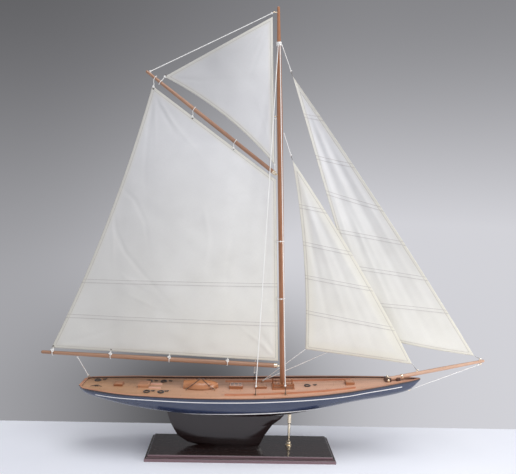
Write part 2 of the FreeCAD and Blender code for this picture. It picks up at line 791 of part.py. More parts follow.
def lashing(spar_at, along, radius, tail_to):
    """Loop of thread round a spar, with a tail to the cloth."""
    loop = ring(spar_at, along, radius + SOFT_GAP + TIE_R, TIE_R)
    toward = tail_to - spar_at
    toward = toward - along * toward.dot(along)
    toward.normalize()
    return fuse(loop, cylinder(spar_at + toward * (radius + SOFT_GAP + TIE_R), tail_to, TIE_R))


# ======== stand ========
hull_outer = hull_body(0.0, RAIL_SPARE)
hull_inner = hull_body(HULL_WALL, 2 * RAIL_SPARE)
holes = [screw_hole(x) for x in SCREW_PLACES]
post = support_post(rabbet(POST_X) + HULL_WALL - BASE_THICK)
keep("base_board", base_board().cut(holes))
keep("stand_screws", *[stand_screw(x) for x in SCREW_PLACES])
keep("support_post", post.cut([hull_outer] + holes))

# ======== hull ========
DECK_CUTTER = slab(DECK_DROP, DECK_CUT_DEPTH, True)
MAST_HOLE = cylinder(mast_point(rabbet(MAST_X)), mast_point(MAST_TAPER_Z), MAST_R + MAST_FIT)
above_base = box(-BASE_LENGTH, BASE_LENGTH, -BEAM, BEAM, BASE_THICK, sheer(HULL_AFT_X))
underwater = below_waterline()
above_rail = slab(-PAST_HULL, PAST_HULL + CAP_THICK, False)
shell = hull_outer.cut([hull_inner, above_rail])
keep("keel_fin", keel_fin().common(above_base).cut([hull_outer, post] + holes))
keep("hull_bottom", shell.common(underwater))
keep("hull_topsides", shell.cut(underwater))


def bulkhead(x):
    """Frame across the inside of the hull, up to the underside of the deck."""
    half = BULKHEAD_THICK / 2
    top = min(slab_underside(x - half), slab_underside(x + half))
    return hull_inner.common(box(x - half, x + half, -BEAM, BEAM, 0, top))


def slab_underside(x):
    return deck_z(x, SLAB_SIDE) - DECK_THICK


step_half = MAST_STEP_LENGTH / 2
step_top = rabbet(MAST_X) + HULL_WALL + MAST_STEP_HEIGHT
step = box(MAST_X - step_half, MAST_X + step_half, -MAST_STEP_WIDTH / 2, MAST_STEP_WIDTH / 2, 0, step_top)
spar_foot = cylinder(mast_point(mast_foot_z()), mast_point(MAST_TAPER_Z), MAST_R + MAST_FIT)
keep("mast_step", hull_inner.common(step).cut(spar_foot))
keep("hull_bulkheads", *[bulkhead(HULL_AFT_X + share * HULL_LENGTH) for share in BULKHEADS])

cap_sheet = slab(0.0, CAP_THICK, False)
cap_ring = plan_prism(-CAP_OVERHANG).cut(plan_prism(CAP_WIDTH - CAP_OVERHANG)).common(cap_sheet)
stern_part = box(HULL_AFT_X - PAST_HULL, HULL_AFT_X + TAFFRAIL_LENGTH, -BEAM, BEAM, 0, MAST_TOP_Z)
cap_sides = cap_ring.cut(stern_part)
keep("taffrail", cap_ring.common(stern_part))
fore_end = HULL_FORE_X + PAST_HULL
keep("cap_rail_port", cap_sides.common(box(HULL_AFT_X, fore_end, 0, BEAM, 0, MAST_TOP_Z)))
keep("cap_rail_starboard", cap_sides.common(box(HULL_AFT_X, fore_end, -BEAM, 0, 0, MAST_TOP_Z)))

# ======== eyes on the deck ========
deck_eyes = {}
for x in SHROUD_EYE_X:
    for side in (-1, 1):
        deck_eyes["shroud", x, side] = deck_eye(x, side * SHROUD_SPREAD, Vec(0, 1, 0))
deck_eyes["sheet"] = deck_eye(SHEET_EYE[0], SHEET_EYE[1], Vec(1, 0, 0))
lash_ends = {}
for end in (-1, 1):
    for side in (-1, 1):
        x = DINGHY_X + end * DINGHY_EYE_SPREAD
        deck_eyes["lash", end, side] = deck_eye(x, side * DINGHY_EYE_OUT, Vec(1, 0, 0))
        lash_ends[end, side] = deck_eyes["lash", end, side][1]
rail_eye_y = half_breadth(MAINSHEET_EYE_X) + CAP_OVERHANG - CAP_WIDTH / 2
rail_eye_at = Vec(MAINSHEET_EYE_X, rail_eye_y, sheer(MAINSHEET_EYE_X) + EYE_HOLE_R + 2 * EYE_WIRE_R)
rail_eye = screw_eye(rail_eye_at, rail_eye_at - UP * (EYE_HOLE_R + 2 * EYE_WIRE_R + CAP_THICK), Vec(0, 1, 0))
eye_solids = [eye for eye, centre in deck_eyes.values()]
keep("deck_eyes", *eye_solids, rail_eye)
for name in ("taffrail", "cap_rail_port", "hull_topsides"):
    keep(name, PARTS[name].cut(rail_eye))

deck = hull_inner.common(slab(DECK_DROP, DECK_THICK, True)).cut([MAST_HOLE, cap_ring] + eye_solids)
keep("deck_panel", deck)

# ======== deck fittings ========
keep("deck_strip_port", side_strip(1))
keep("deck_strip_starboard", side_strip(-1))
keep("aft_hatch", hatch(AFT_HATCH, 0.5))
keep("companion_hatch", hatch(COMPANION, 0.7))
keep("skylight", hatch(SKYLIGHT, 0.7))
keep("mid_hatch", hatch(MID_HATCH, 0.5))
keep("fore_hatch", hatch(FORE_HATCH, 0.6))
slide_x0 = COMPANION[0] + COMPANION[1] / 2
slides = []
for side in (-1, 1):
    y0 = side * SLIDE_RAIL_SPREAD - SLIDE_WIDTH / 2
    low, high = deck_z(slide_x0) - SINK, deck_z(slide_x0) + SLIDE_HEIGHT
    slides.append(seated(box(slide_x0, slide_x0 + SLIDE_RAIL_LENGTH, y0, y0 + SLIDE_WIDTH, low, high)))
keep("companion_slides", *slides)
keep("dinghy", dinghy())
keep("dinghy_lashing", *dinghy_lashing(lash_ends))
keep("fife_rail", fife_rail())
keep("cleats", *[cleat(*place) for place in CLEATS])
keep("rope_coils", *[rope_coil(*place) for place in COILS])

# ======== mast and its eyes ========
mast_eye_heights = [BOOM_Z, GAFF_Z, THROAT_TIE_Z, PEAK_TIE_Z]
mast_eyes = []
for z in mast_eye_heights:
    centre = mast_point(z, HINGE_OFFSET)
    mast_eyes.append(screw_eye(centre, mast_point(z, mast_radius(z) / 3), MAST_DIR))
mast_solid = mast()
keep("mast_eyes", *mast_eyes)
keep("mast", mast_solid.cut(mast_eyes))
hounds_at = mast_point(HOUNDS_Z)
hounds_r = mast_radius(HOUNDS_Z)
hounds = ring(hounds_at, MAST_DIR, hounds_r + SHROUD_R, SHROUD_R).cut(mast_solid)
keep("hounds_lashing", hounds)

# ======== bowsprit ========
sprit = tapered_spar(sprit_point(0), SPRIT_DIR, BOWSPRIT_LENGTH, BOWSPRIT_R, BOWSPRIT_TIP_R)
jib_top, jib_bottom = headsail_line(JIB_HALYARD_Z, JIB_TACK_ALONG, BOWSPRIT_TIP_R)
stay_top, stay_bottom = headsail_line(STAYSAIL_HALYARD_Z, STAYSAIL_TACK_ALONG, BOWSPRIT_R)
side_dir = Vec(0, 1, 0)
sprit_eyes = [screw_eye(at, at - UP * (EYE_STAND + EYE_BITE), side_dir) for at in (jib_bottom, stay_bottom)]
bob_top = sprit_point(JIB_TACK_ALONG + 1.0, -BOWSPRIT_TIP_R - EYE_STAND)
sprit_eyes.append(screw_eye(bob_top, bob_top + UP * (EYE_STAND + EYE_BITE), side_dir))
keep("bowsprit_eyes", *sprit_eyes)

heel_x = SPRIT_HEEL.x
heel_top = SPRIT_HEEL.z + BOWSPRIT_R
block_half = HEEL_BLOCK[1] / 2
block_low = deck_z(heel_x) - SINK
block = box(heel_x - HEEL_BACK, heel_x + HEEL_BLOCK[0], -block_half, block_half, block_low, heel_top)
chock_x = sprit_point(CHOCK_ALONG).x
chock_half, chock_side = CHOCK[0] / 2, CHOCK[1] / 2
chock_top = sprit_point(CHOCK_ALONG).z
chock_low = deck_z(chock_x) - SINK
chock = box(chock_x - chock_half, chock_x + chock_half, -chock_side, chock_side, chock_low, chock_top)
keep("heel_block", seated(block).cut(sprit))
keep("bowsprit_chock", seated(chock).cut(sprit))
keep("bowsprit", sprit.cut(sprit_eyes))
band_low, band_high = sprit_point(BAND_ALONG), sprit_point(BAND_ALONG + BAND_WIDTH)
band = cylinder(band_low, band_high, BOWSPRIT_R + BAND_THICK).cut(sprit)
bead_x = heel_x + (HEEL_BLOCK[0] - HEEL_BACK) / 2
bead = Part.makeSphere(HEEL_BEAD_R, Vec(bead_x, 0, heel_top + HEEL_BEAD_R / 2))
keep("bowsprit_band", band, bead.cut([block, sprit]))

stem_x = HULL_FORE_X - STEM_EYE_BACK
stem_at = Vec(stem_x, 0, rabbet(stem_x) - EYE_HOLE_R - EYE_WIRE_R)
stem_eye = screw_eye(stem_at, stem_at + UP * STEM_EYE_BITE, side_dir)
keep("stem_eye", stem_eye)
for name in ("hull_topsides", "hull_bottom"):
    keep(name, PARTS[name].cut(stem_eye))
keep("bobstay", thread([clear_end(bob_top, stem_at), clear_end(stem_at, bob_top)], THREAD_R))

# ======== shrouds and stays ========
shrouds, shroud_hooks = [], []
for x, lead in zip(SHROUD_EYE_X, SHROUD_TOP_LEAD):
    for side in (-1, 1):
        eye_at = deck_eyes["shroud", x, side][1]
        top = hounds_at + Vec(lead, side * (hounds_r + SHROUD_R), 0)
        pull = top - eye_at
        pull.normalize()
        link = eye_at + pull * LINK_PITCH
        hook_end = eye_at + pull * SHROUD_HOOK_HEIGHT
        shroud_hooks.append(fuse(ring(link, Vec(1, 0, 0), LINK_R, LINK_WIRE_R),
                                 cylinder(link + pull * LINK_R, hook_end, LINK_WIRE_R)))
        shrouds.append(thread([hook_end, top - pull * SHROUD_TOP_GAP], SHROUD_R))
keep("shrouds", *shrouds)
keep("shroud_hooks", *shroud_hooks)

jib_bows = [JIB_LUFF_ROUND, JIB_FOOT_ROUND, 0.0]
jib, jib_head, jib_tack = headsail(
    jib_top, jib_bottom, JIB_HEAD_OFFSET, JIB_TACK_OFFSET, Vec(*JIB_CLEW), jib_bows)
jib_hooks, jib_halyard = headsail_rigging(jib_top, jib_bottom, jib_head, jib_tack)
staysail_bows = [STAYSAIL_LUFF_ROUND, 0.0, -STAYSAIL_LEECH_HOLLOW]
staysail, staysail_head, staysail_tack = headsail(
    stay_top, stay_bottom, STAYSAIL_HEAD_OFFSET, STAYSAIL_TACK_OFFSET, Vec(*STAYSAIL_CLEW), staysail_bows)
staysail_hooks, staysail_halyard = headsail_rigging(stay_top, stay_bottom, staysail_head, staysail_tack)
keep("jib", jib)
keep("jib_hooks", *jib_hooks)
keep("jib_halyard", jib_halyard)
keep("staysail", staysail)
keep("staysail_hooks", *staysail_hooks)
keep("staysail_halyard", staysail_halyard)

# ======== boom, gaff and mainsail ========
keep("boom_fork", spar_fork(BOOM_EYE, BOOM_DIR, BOOM_R))
keep("boom", tapered_spar(boom_point(FERRULE_END), BOOM_DIR, BOOM_LENGTH - FERRULE_END, BOOM_R, BOOM_TIP_R))
gaff = tapered_spar(gaff_point(FERRULE_END), GAFF_DIR, GAFF_LENGTH - FERRULE_END, GAFF_R, GAFF_TIP_R)
gaff_fork = spar_fork(GAFF_EYE, GAFF_DIR, GAFF_R)
keep("gaff", gaff)
keep("gaff_fork", gaff_fork)
main_tack = mast_point(boom_point(0).z + BOOM_R + MAIN_FOOT_GAP, HINGE_OFFSET)
main_clew = boom_point(MAIN_CLEW_ALONG, BOOM_R + MAIN_FOOT_GAP)
main_peak = gaff_point(MAIN_PEAK_ALONG, -MAIN_PEAK_DROP)
main_throat = mast_point(GAFF_Z - MAIN_THROAT_DROP, HINGE_OFFSET)
hoop_r = MAST_R + SOFT_GAP + TIE_R + HOOP_AFT
hoops = [ring(mast_point(z, HOOP_AFT), MAST_DIR, hoop_r, TIE_R) for z in HOOP_HEIGHTS]
keep("luff_hoops", *hoops)
mainsail = sail_plate([main_tack, main_clew, main_peak, main_throat], [0, -MAIN_LEECH_HOLLOW, 0, 0])
mainsail = mainsail.cut(hoops)
keep("mainsail", mainsail)


def foot_at(along):
    """Point on the sail's foot straight above the boom at this distance along it."""
    x = boom_point(along).x
    return main_tack + (main_clew - main_tack) * ((x - main_tack.x) / (main_clew.x - main_tack.x))


def head_at(along):
    x = gaff_point(along).x
    return main_throat + (main_peak - main_throat) * ((x - main_throat.x) / (main_peak.x - main_throat.x))


foot_places = FOOT_TIES + [MAIN_CLEW_ALONG - CLEW_TIE_BACK]
foot_ties = [lashing(boom_point(a), BOOM_DIR, BOOM_R, foot_at(a)) for a in foot_places]
keep("foot_ties", *[tie.cut(mainsail) for tie in foot_ties])
head_places = HEAD_TIES + [MAIN_PEAK_ALONG - PEAK_TIE_BACK]
head_ties = [lashing(gaff_point(a), GAFF_DIR, GAFF_R, head_at(a)) for a in head_places]
keep("head_ties", *[tie.cut(mainsail) for tie in head_ties])

# ======== topsail and halyards ========
top_head = mast_point(MAST_TOP_Z - TOP_HEAD_DROP, TOP_LUFF_OFFSET)
top_tack = mast_point(GAFF_Z + TOP_TACK_RISE, TOP_LUFF_OFFSET)
top_clew = gaff_point(TOP_CLEW_ALONG, TOP_CLEW_RISE)
keep("topsail", sail_plate([top_tack, top_head, top_clew], [0, 0, -TOP_FOOT_HOLLOW]))
peak_eye = mast_point(PEAK_TIE_Z, HINGE_OFFSET)
throat_eye = mast_point(THROAT_TIE_Z, HINGE_OFFSET)
peak_end = gaff_point(HALYARD_ALONG, GAFF_R)
keep("peak_halyard", thread([clear_end(peak_eye, peak_end), peak_end], THREAD_R).cut(gaff))
throat_end = mast_point(GAFF_Z + EYE_WIRE_R + FORK_FIT + FORK_THICK, HINGE_OFFSET)
keep("throat_halyard", thread([clear_end(throat_eye, throat_end), throat_end], THREAD_R).cut(gaff_fork))
clew_lash = lashing(gaff_point(TOP_CLEW_TIE_ALONG), GAFF_DIR, GAFF_R, top_clew)
tack_tie = thread([top_tack - MAST_DIR * SOFT_GAP, top_tack - MAST_DIR * TOP_TACK_RISE], TIE_R)
keep("topsail_lashing", clew_lash.cut([PARTS["topsail"], gaff]), tack_tie.cut([gaff_fork, gaff]))

# ======== sheets ========
sheet_eye_at = deck_eyes["sheet"][1]
sheet_leads = [("jib_sheet", JIB_CLEW, SHEET_SPREAD), ("staysail_sheet", STAYSAIL_CLEW, -SHEET_SPREAD)]
for name, clew, aside in sheet_leads:
    corner = Vec(*clew)
    toward = sheet_eye_at - corner
    toward.normalize()
    landing = clear_end(sheet_eye_at, corner) + Vec(0, aside, 0)
    keep(name, thread([corner + toward * 2 * SOFT_GAP, landing], THREAD_R))
boom_hold = boom_point(MAINSHEET_ALONG, -BOOM_R - SOFT_GAP)
keep("mainsheet", thread([boom_hold, clear_end(rail_eye_at, boom_hold)], THREAD_R))

os.makedirs("parts", exist_ok=True)
for name, shape in sorted(PARTS.items()):
    shape.exportStep("parts/" + name + ".step")
    if not shape.isValid() or not shape.Solids:
        print("CHECK", name, shape.isValid(), len(shape.Solids))
print(len(PARTS), "nodes")
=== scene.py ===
"""Looks of a gaff cutter display model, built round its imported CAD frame.

Metres, +X towards the bow, +Y to port, +Z up. Places are read from the CAD nodes.
"""
import math

import bpy
import numpy as np
from mathutils import Matrix, Vector


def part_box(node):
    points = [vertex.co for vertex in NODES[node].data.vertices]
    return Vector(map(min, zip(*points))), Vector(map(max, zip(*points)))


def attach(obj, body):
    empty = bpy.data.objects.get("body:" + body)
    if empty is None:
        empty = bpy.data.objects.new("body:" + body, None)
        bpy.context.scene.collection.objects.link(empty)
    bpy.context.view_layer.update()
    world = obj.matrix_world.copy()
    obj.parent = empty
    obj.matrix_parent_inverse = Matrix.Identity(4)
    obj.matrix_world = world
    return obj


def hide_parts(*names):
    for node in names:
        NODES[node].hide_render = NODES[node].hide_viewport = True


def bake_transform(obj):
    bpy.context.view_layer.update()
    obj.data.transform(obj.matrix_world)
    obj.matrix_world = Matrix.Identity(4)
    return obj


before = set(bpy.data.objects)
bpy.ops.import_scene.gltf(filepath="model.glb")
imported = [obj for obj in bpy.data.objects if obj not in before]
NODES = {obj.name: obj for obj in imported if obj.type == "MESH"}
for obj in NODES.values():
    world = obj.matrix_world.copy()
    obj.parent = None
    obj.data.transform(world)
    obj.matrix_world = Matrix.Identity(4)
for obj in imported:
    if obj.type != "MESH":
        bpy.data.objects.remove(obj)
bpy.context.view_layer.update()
MM = 0.001
UP = np.array((0.0, 0.0, 1.0))
TO_PORT = np.array((0.0, 1.0, 0.0))

# ---- camera ----
EYE = Vector((-0.0157, -0.7020, 0.3311))
YAW = math.radians(-2.418)
PITCH = math.radians(87.116)
ROLL = math.radians(1.983)
LENS_MM = 36.28
SENSOR_MM = 36.0

# ---- threads ----
THREAD = 1.0 * MM
SHROUD = 1.2 * MM
TIE = 0.8 * MM
COIL_CORD = 0.9 * MM
LASHING_CORD = 0.8 * MM
STRAND_SIDES = 10
TAUT_SAG = 0.003
KNOT = 3.2 * MM
BOOM_KNOT = 5.4 * MM
BOOM_KNOT_OUT = 2.6 * MM
DINGHY_KNOT = 2.0 * MM
KNOT_TURNS = 400.0  # radians per metre along a spar, so that no two knots look alike

# ---- coils of rope ----
COIL_TURNS = 2
COIL_POINTS = 14
COIL_INSIDE = 3.3 * MM
COIL_OUTSIDE = 4.4 * MM

# ---- cloth ----
CLOTH = 0.35 * MM
GRID = 2.5 * MM
HEM = 4.4 * MM
SEAM_GAP = 4.4 * MM
SEAM_PULL = 0.3 * MM
SEAM_REACH = 3.0 * MM
RIPPLE = 0.30 * MM
HELD_EDGE = 12 * MM
RIM_STEPS = 60
GLOW = 0.22
HEAD_SQUARE = np.array((0.591, 0.0, 0.807))  # square to the mainsail's head
BEND_FROM = 0.130
BEND_TO = 0.318

# ---- paint lines on the hull ----
WATERLINE_Z = 64.0 * MM
WATERLINE_SLOPE = 0.055
COVE_DROP = 5.4 * MM
COVE_WIDTH = 1.0 * MM
COVE_AFT = -0.192
COVE_FORE = 0.217
BOOT_HEIGHT = 1.05 * MM
BOOT_WIDTH = 2.1 * MM
# painted shadow: a thin dark line painted just above the boot top
PAINTED_SHADOW_HEIGHT = 2.5 * MM
PAINTED_SHADOW_WIDTH = 0.7 * MM
PLANK = 4.0 * MM

# ---- surroundings ----
TABLE_BACK = 0.087
TABLE_SIDE = 1.6
TABLE_FRONT = -2.2
WALL_TOP = 0.11  # brightness, as are the next two
WALL_FOOT = 0.42
WALL_LIMIT = 0.65
WALL_RIGHT = 2.08  # how many times as bright as its left side
SHADOW_X = -0.066
SHADOW_WIDTH = 0.26
SHADOW_DEPTH = 0.88
# lamps: place, aim, size, watts and colour
KEY_LAMP = ((0.85, -0.62, 0.28), (0.5, 0.0, 0.2), 0.35, 4.0, (1.0, 0.985, 0.96))
CEILING_LAMP = ((0.30, -0.50, 2.20), (0.0, 0.0, 0.0), 1.4, 25.0, (0.97, 0.98, 1.0))


def scene_camera():
    data = bpy.data.cameras.new("camera")
    data.lens = LENS_MM
    data.sensor_width = SENSOR_MM
    camera = bpy.data.objects.new("camera", data)
    turn = Matrix.Rotation(YAW, 4, "Z") @ Matrix.Rotation(PITCH, 4, "X") @ Matrix.Rotation(ROLL, 4, "Z")
    camera.matrix_world = Matrix.Translation(EYE) @ turn
    bpy.context.scene.collection.objects.link(camera)
    bpy.context.scene.camera = camera


# ======== reading the frame ========
def vertices(node):
    mesh = NODES[node].data
    places = np.zeros(len(mesh.vertices) * 3)
    mesh.vertices.foreach_get("co", places)
    return places.reshape(-1, 3)


def islands(node):
    """Vertex places of each separate solid of a node, from aft to forward."""
    mesh = NODES[node].data
    places = vertices(node)
    _, same = np.unique(np.round(places / 1e-6), axis=0, return_inverse=True)
    same = same.ravel()
    edges = np.zeros(len(mesh.edges) * 2, int)
    mesh.edges.foreach_get("vertices", edges)
    a, b = same[edges.reshape(-1, 2)].T
    group = np.arange(same.max() + 1)
    before = None
    while before is None or (group != before).any():
        before = group.copy()
        lowest = np.minimum(group[a], group[b])
        np.minimum.at(group, a, lowest)
        np.minimum.at(group, b, lowest)
        group = group[group]
    found = [places[group[same] == label] for label in np.unique(group)]
    return sorted(found, key=lambda part: (round(part[:, 0].mean(), 3), part[:, 1].mean()))


def ends(places):
    """Centres of the two ends of a straight round solid, the lower one first."""
    middle = (places.min(0) + places.max(0)) / 2
    axis = np.linalg.svd(places - places.mean(0), full_matrices=False)[2][0]
    axis = axis if axis[2] > 0 else -axis
    reach = (places - middle) @ axis
    low = places[reach < reach.min() + 0.1 * MM].mean(0)
    high = places[reach > reach.max() - 0.1 * MM].mean(0)
    return low, high


def corner(node, direction):
    """Corner of a flat plate that lies furthest along a direction."""
    places = vertices(node)
    reach = places @ np.array(direction, float)
    return places[reach > reach.max() - 0.05 * MM].mean(0)


def unit(vector):
    return np.array(vector) / np.linalg.norm(vector)


def spar(node):
    """Heel, direction and radius of a round spar."""
    low, high = ends(vertices(node))
    axis = unit(high - low)
    out = vertices(node) - low
    return low, axis, np.linalg.norm(out - np.outer(out @ axis, axis), axis=1).max()


# ======== making pieces ========
def mesh_piece(name, points, faces, material, smooth=True):
    mesh = bpy.data.meshes.new(name)
    mesh.from_pydata([tuple(p) for p in points], [], faces)
    mesh.update()
    mesh.polygons.foreach_set("use_smooth", [smooth] * len(mesh.polygons))
    mesh.materials.append(material)
    piece = bpy.data.objects.new(name, mesh)
    bpy.context.scene.collection.objects.link(piece)
    return piece


def joined(name, meshes, material, smooth=True):
    """One piece from several (points, faces) pairs."""
    points, faces = [], []
    for more_points, more_faces in meshes:
        faces += [tuple(i + len(points) for i in face) for face in more_faces]
        points += [tuple(p) for p in more_points]
    return mesh_piece(name, points, faces, material, smooth)


def placed(name, meshes, material, body="hull", node=None, smooth=True):
    """Joined piece that rides on a body and may stand for a CAD node."""
    piece = joined(name, meshes, material, smooth)
    if node:
        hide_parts(node)
    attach(piece, body)


def spline_points(route):
    """Points along the smooth NURBS line that a thread's route controls."""
    curve = bpy.data.curves.new("route", "CURVE")
    curve.dimensions = "3D"
    line = curve.splines.new("NURBS")
    line.points.add(len(route) - 1)
    for point, place in zip(line.points, route):
        point.co = (*place, 1.0)
    line.order_u = 3
    line.use_endpoint_u = True
    line.resolution_u = 12
    holder = bpy.data.objects.new("route", curve)
    mesh = bpy.data.meshes.new_from_object(holder)
    points = np.array([v.co for v in mesh.vertices])
    bpy.data.objects.remove(holder)
    bpy.data.curves.remove(curve)
    bpy.data.meshes.remove(mesh)
    return points


def resampled(points, step):
    lengths = np.linalg.norm(np.diff(points, axis=0), axis=1)
    total = np.concatenate([[0], np.cumsum(lengths)])
    places = np.linspace(0, total[-1], max(int(total[-1] / step), 4))
    return np.stack([np.interp(places, total, points[:, k]) for k in range(3)], axis=1), places


def tube_faces(rings, sides):
    """Faces between rings of points, with both ends closed."""
    faces = []
    for k in range(rings - 1):
        a, b = k * sides, (k + 1) * sides
        faces += [(a + i, a + (i + 1) % sides, b + (i + 1) % sides, b + i) for i in range(sides)]
    last = (rings - 1) * sides
    return faces + [tuple(reversed(range(sides))), tuple(range(last, last + sides))]


def rope_mesh(points, diameter, sides=STRAND_SIDES, strands=3, pitch=3.2, step=0.45):
    """Laid thread along points, whose strands turn once in pitch diameters."""
    points, places = resampled(np.array(points), diameter * step)
    along = np.gradient(points, axis=0)
    along /= np.linalg.norm(along, axis=1)[:, None]
    side = np.cross(along[0], (0.31, 0.87, 0.39))
    turn = np.linspace(0, 2 * math.pi, sides, endpoint=False)
    rings = []
    for k, point in enumerate(points):
        side = unit(side - along[k] * (side @ along[k]))
        over = np.cross(along[k], side)
        lay = np.abs(np.sin(strands * (turn - 2 * math.pi * places[k] / (pitch * diameter)) / 2))
        radius = diameter / 2 * (0.86 + 0.14 * np.sqrt(lay))
        rings.append(point + np.outer(radius * np.cos(turn), side) + np.outer(radius * np.sin(turn), over))
    return np.concatenate(rings), tube_faces(len(rings), sides)


def knot_mesh(centre, size, diameter, turn=0.0):
    """Small knot: a trefoil of thread drawn tight."""
    t = np.linspace(0, 2 * math.pi, 40)
    x, y, z = np.sin(t) + 2 * np.sin(2 * t), np.cos(t) - 2 * np.cos(2 * t), -np.sin(3 * t)
    cosine, sine = math.cos(turn), math.sin(turn)
    loop = np.stack([x * cosine + y * sine, z * 1.3, y * cosine - x * sine], axis=1)
    return rope_mesh(np.array(centre) + loop * (size - diameter) / 6, diameter, sides=8)


def around(axis):
    """Two directions square to an axis and to each other."""
    aside = UP if abs(unit(axis) @ TO_PORT) > 0.9 else TO_PORT
    first = unit(np.cross(axis, aside))
    return first, np.cross(unit(axis), first)


def wraps(centre, axis, radius, turns, pitch):
    """Route of turns of thread wound round a spar."""
    first, second = around(axis)
    route = []
    for k in range(int(turns * COIL_POINTS) + 1):
        angle = 2 * math.pi * k / COIL_POINTS
        lift = (k / COIL_POINTS - turns / 2) * pitch
        out = radius * (math.cos(angle) * first + math.sin(angle) * second)
        route.append(centre + unit(axis) * lift + out)
    return route


def turned_mesh(profile, centre, axis=UP, sides=16):
    """Turned solid from (radius, height) pairs, closed at both ends."""
    first, second = around(axis) if abs(axis[2]) < 0.999 else (np.array((1.0, 0, 0)), TO_PORT)
    turn = np.linspace(0, 2 * math.pi, sides, endpoint=False)
    circle = np.outer(np.cos(turn), first) + np.outer(np.sin(turn), second)
    points = [centre + height * np.array(axis) + radius * circle for radius, height in profile]
    return np.concatenate(points), tube_faces(len(profile), sides)


def brick_mesh(low, high, bevel):
    """Block between two corners with its upper and lower edges bevelled."""
    (x0, y0, z0), (x1, y1, z1) = low, high
    points = []
    for z, inset in ((z0, bevel), (z0 + bevel, 0), (z1 - bevel, 0), (z1, bevel)):
        a, b, c, d = x0 + inset, x1 - inset, y0 + inset, y1 - inset
        points += [(a, c, z), (b, c, z), (b, d, z), (a, d, z)]
    faces = [(3, 2, 1, 0), (12, 13, 14, 15)]
    for k in range(3):
        base = 4 * k
        faces += [(base + i, base + (i + 1) % 4, base + 4 + (i + 1) % 4, base + 4 + i) for i in range(4)]
    return np.array(points), faces


# ======== materials ========
class Nodes:
    """Short calls for building a node tree."""

    def __init__(self, tree):
        self.tree = tree

    def put(self, socket, source):
        if hasattr(source, "is_output"):
            self.tree.links.new(source, socket)
        else:
            socket.default_value = source

    def node(self, kind, inputs, output=0, **settings):
        made = self.tree.nodes.new("ShaderNode" + kind)
        for name, value in settings.items():
            setattr(made, name, value)
        for key, source in inputs.items():
            self.put(made.inputs[key], source)
        return made.outputs[output]

    def math(self, operation, *values):
        return self.node("Math", dict(enumerate(values)), operation=operation)

    def add(self, *values):
        return self.math("ADD", *values)

    def minus(self, *values):
        return self.math("SUBTRACT", *values)

    def times(self, *values):
        return self.math("MULTIPLY", *values)

    def either(self, *values):
        return self.math("MAXIMUM", *values)

    def combine(self, x, y, z):
        return self.node("CombineXYZ", {0: x, 1: y, 2: z})

    def separate(self, vector):
        made = self.tree.nodes.new("ShaderNodeSeparateXYZ")
        self.put(made.inputs[0], vector)
        return made.outputs

    def noise(self, place, scale, detail=3.0, rough=0.55):
        return self.node("TexNoise", {"Vector": place, "Scale": scale, "Detail": detail, "Roughness": rough})

    def random(self, value):
        return self.node("TexWhiteNoise", {"W": value}, noise_dimensions="1D")

    def ramp(self, value, low, high, to_low=0.0, to_high=1.0, smooth=False):
        kind = "SMOOTHSTEP" if smooth else "LINEAR"
        inputs = {0: value, 1: low, 2: high, 3: to_low, 4: to_high}
        return self.node("MapRange", inputs, interpolation_type=kind)

    def band(self, value, centre, width, soft):
        """1 within half a width of the centre and 0 outside, with a soft edge."""
        away = self.math("ABSOLUTE", self.minus(value, centre))
        return self.ramp(away, width / 2 + soft, width / 2)

    def mix(self, share, first, second):
        made = self.tree.nodes.new("ShaderNodeMix")
        made.data_type = "RGBA"
        for key, source in ((0, share), (6, first), (7, second)):
            self.put(made.inputs[key], source)
        return made.outputs[2]


class Look(Nodes):
    """Material with a Principled surface whose textures follow the object's own metres."""

    def __init__(self, name, **constants):
        self.material = bpy.data.materials.new(name)
        self.material.use_nodes = True
        super().__init__(self.material.node_tree)
        self.surface = self.tree.nodes["Principled BSDF"]
        for socket, value in constants.items():
            self.surface.inputs[socket.replace("_", " ").title()].default_value = value
        self.place = self.tree.nodes.new("ShaderNodeTexCoord").outputs["Object"]
        self.x, self.y, self.z = self.separate(self.place)

    def colour(self, source):
        self.put(self.surface.inputs["Base Color"], source)

    def roughness(self, source):
        self.put(self.surface.inputs["Roughness"], source)

    def bump(self, height, strength, distance):
        made = self.node("Bump", {"Height": height, "Strength": strength, "Distance": distance})
        self.put(self.surface.inputs["Normal"], made)

    def facing(self, axis):
        """How squarely the surface faces along X (0), Y (1) or Z (2)."""
        normal = self.tree.nodes.new("ShaderNodeNewGeometry").outputs["Normal"]
        return self.separate(normal)[axis]


def rgb(red, green, blue):
    return (red, green, blue, 1.0)


def along_grain(look, grain, squeeze=0.94):
    """Texture place drawn out along the grain."""
    along = look.node("VectorMath", {0: look.place, 1: grain}, 1, operation="DOT_PRODUCT")
    back = look.times(along, -squeeze)
    drawn = look.combine(*[look.times(back, part) for part in grain])
    return look.node("VectorMath", {0: look.place, 1: drawn}, operation="ADD")


def timber(look, grain, light, dark, figure=90.0, pores=1400.0):
    """Colour and fine pore height of straight-grained wood."""
    place = along_grain(look, grain)
    streaks = look.noise(place, figure, 4.0)
    fine = look.noise(place, pores, 2.0, 0.7)
    rings = look.math("PINGPONG", look.times(streaks, 6.0), 1.0)
    share = look.add(look.times(rings, 0.45), look.times(fine, 0.55))
    return look.mix(look.ramp(share, 0.22, 0.8), rgb(*dark), rgb(*light)), fine


def wood(name, light, dark, grain=(1.0, 0.0, 0.0), gloss=0.4, coat=0.25):
    look = Look(name, coat_weight=coat, coat_roughness=0.15)
    colour, fine = timber(look, grain, light, dark)
    look.colour(colour)
    look.roughness(look.ramp(fine, 0.2, 0.8, gloss - 0.07, gloss + 0.12))
    look.bump(fine, 0.2, 0.15 * MM)
    return look.material


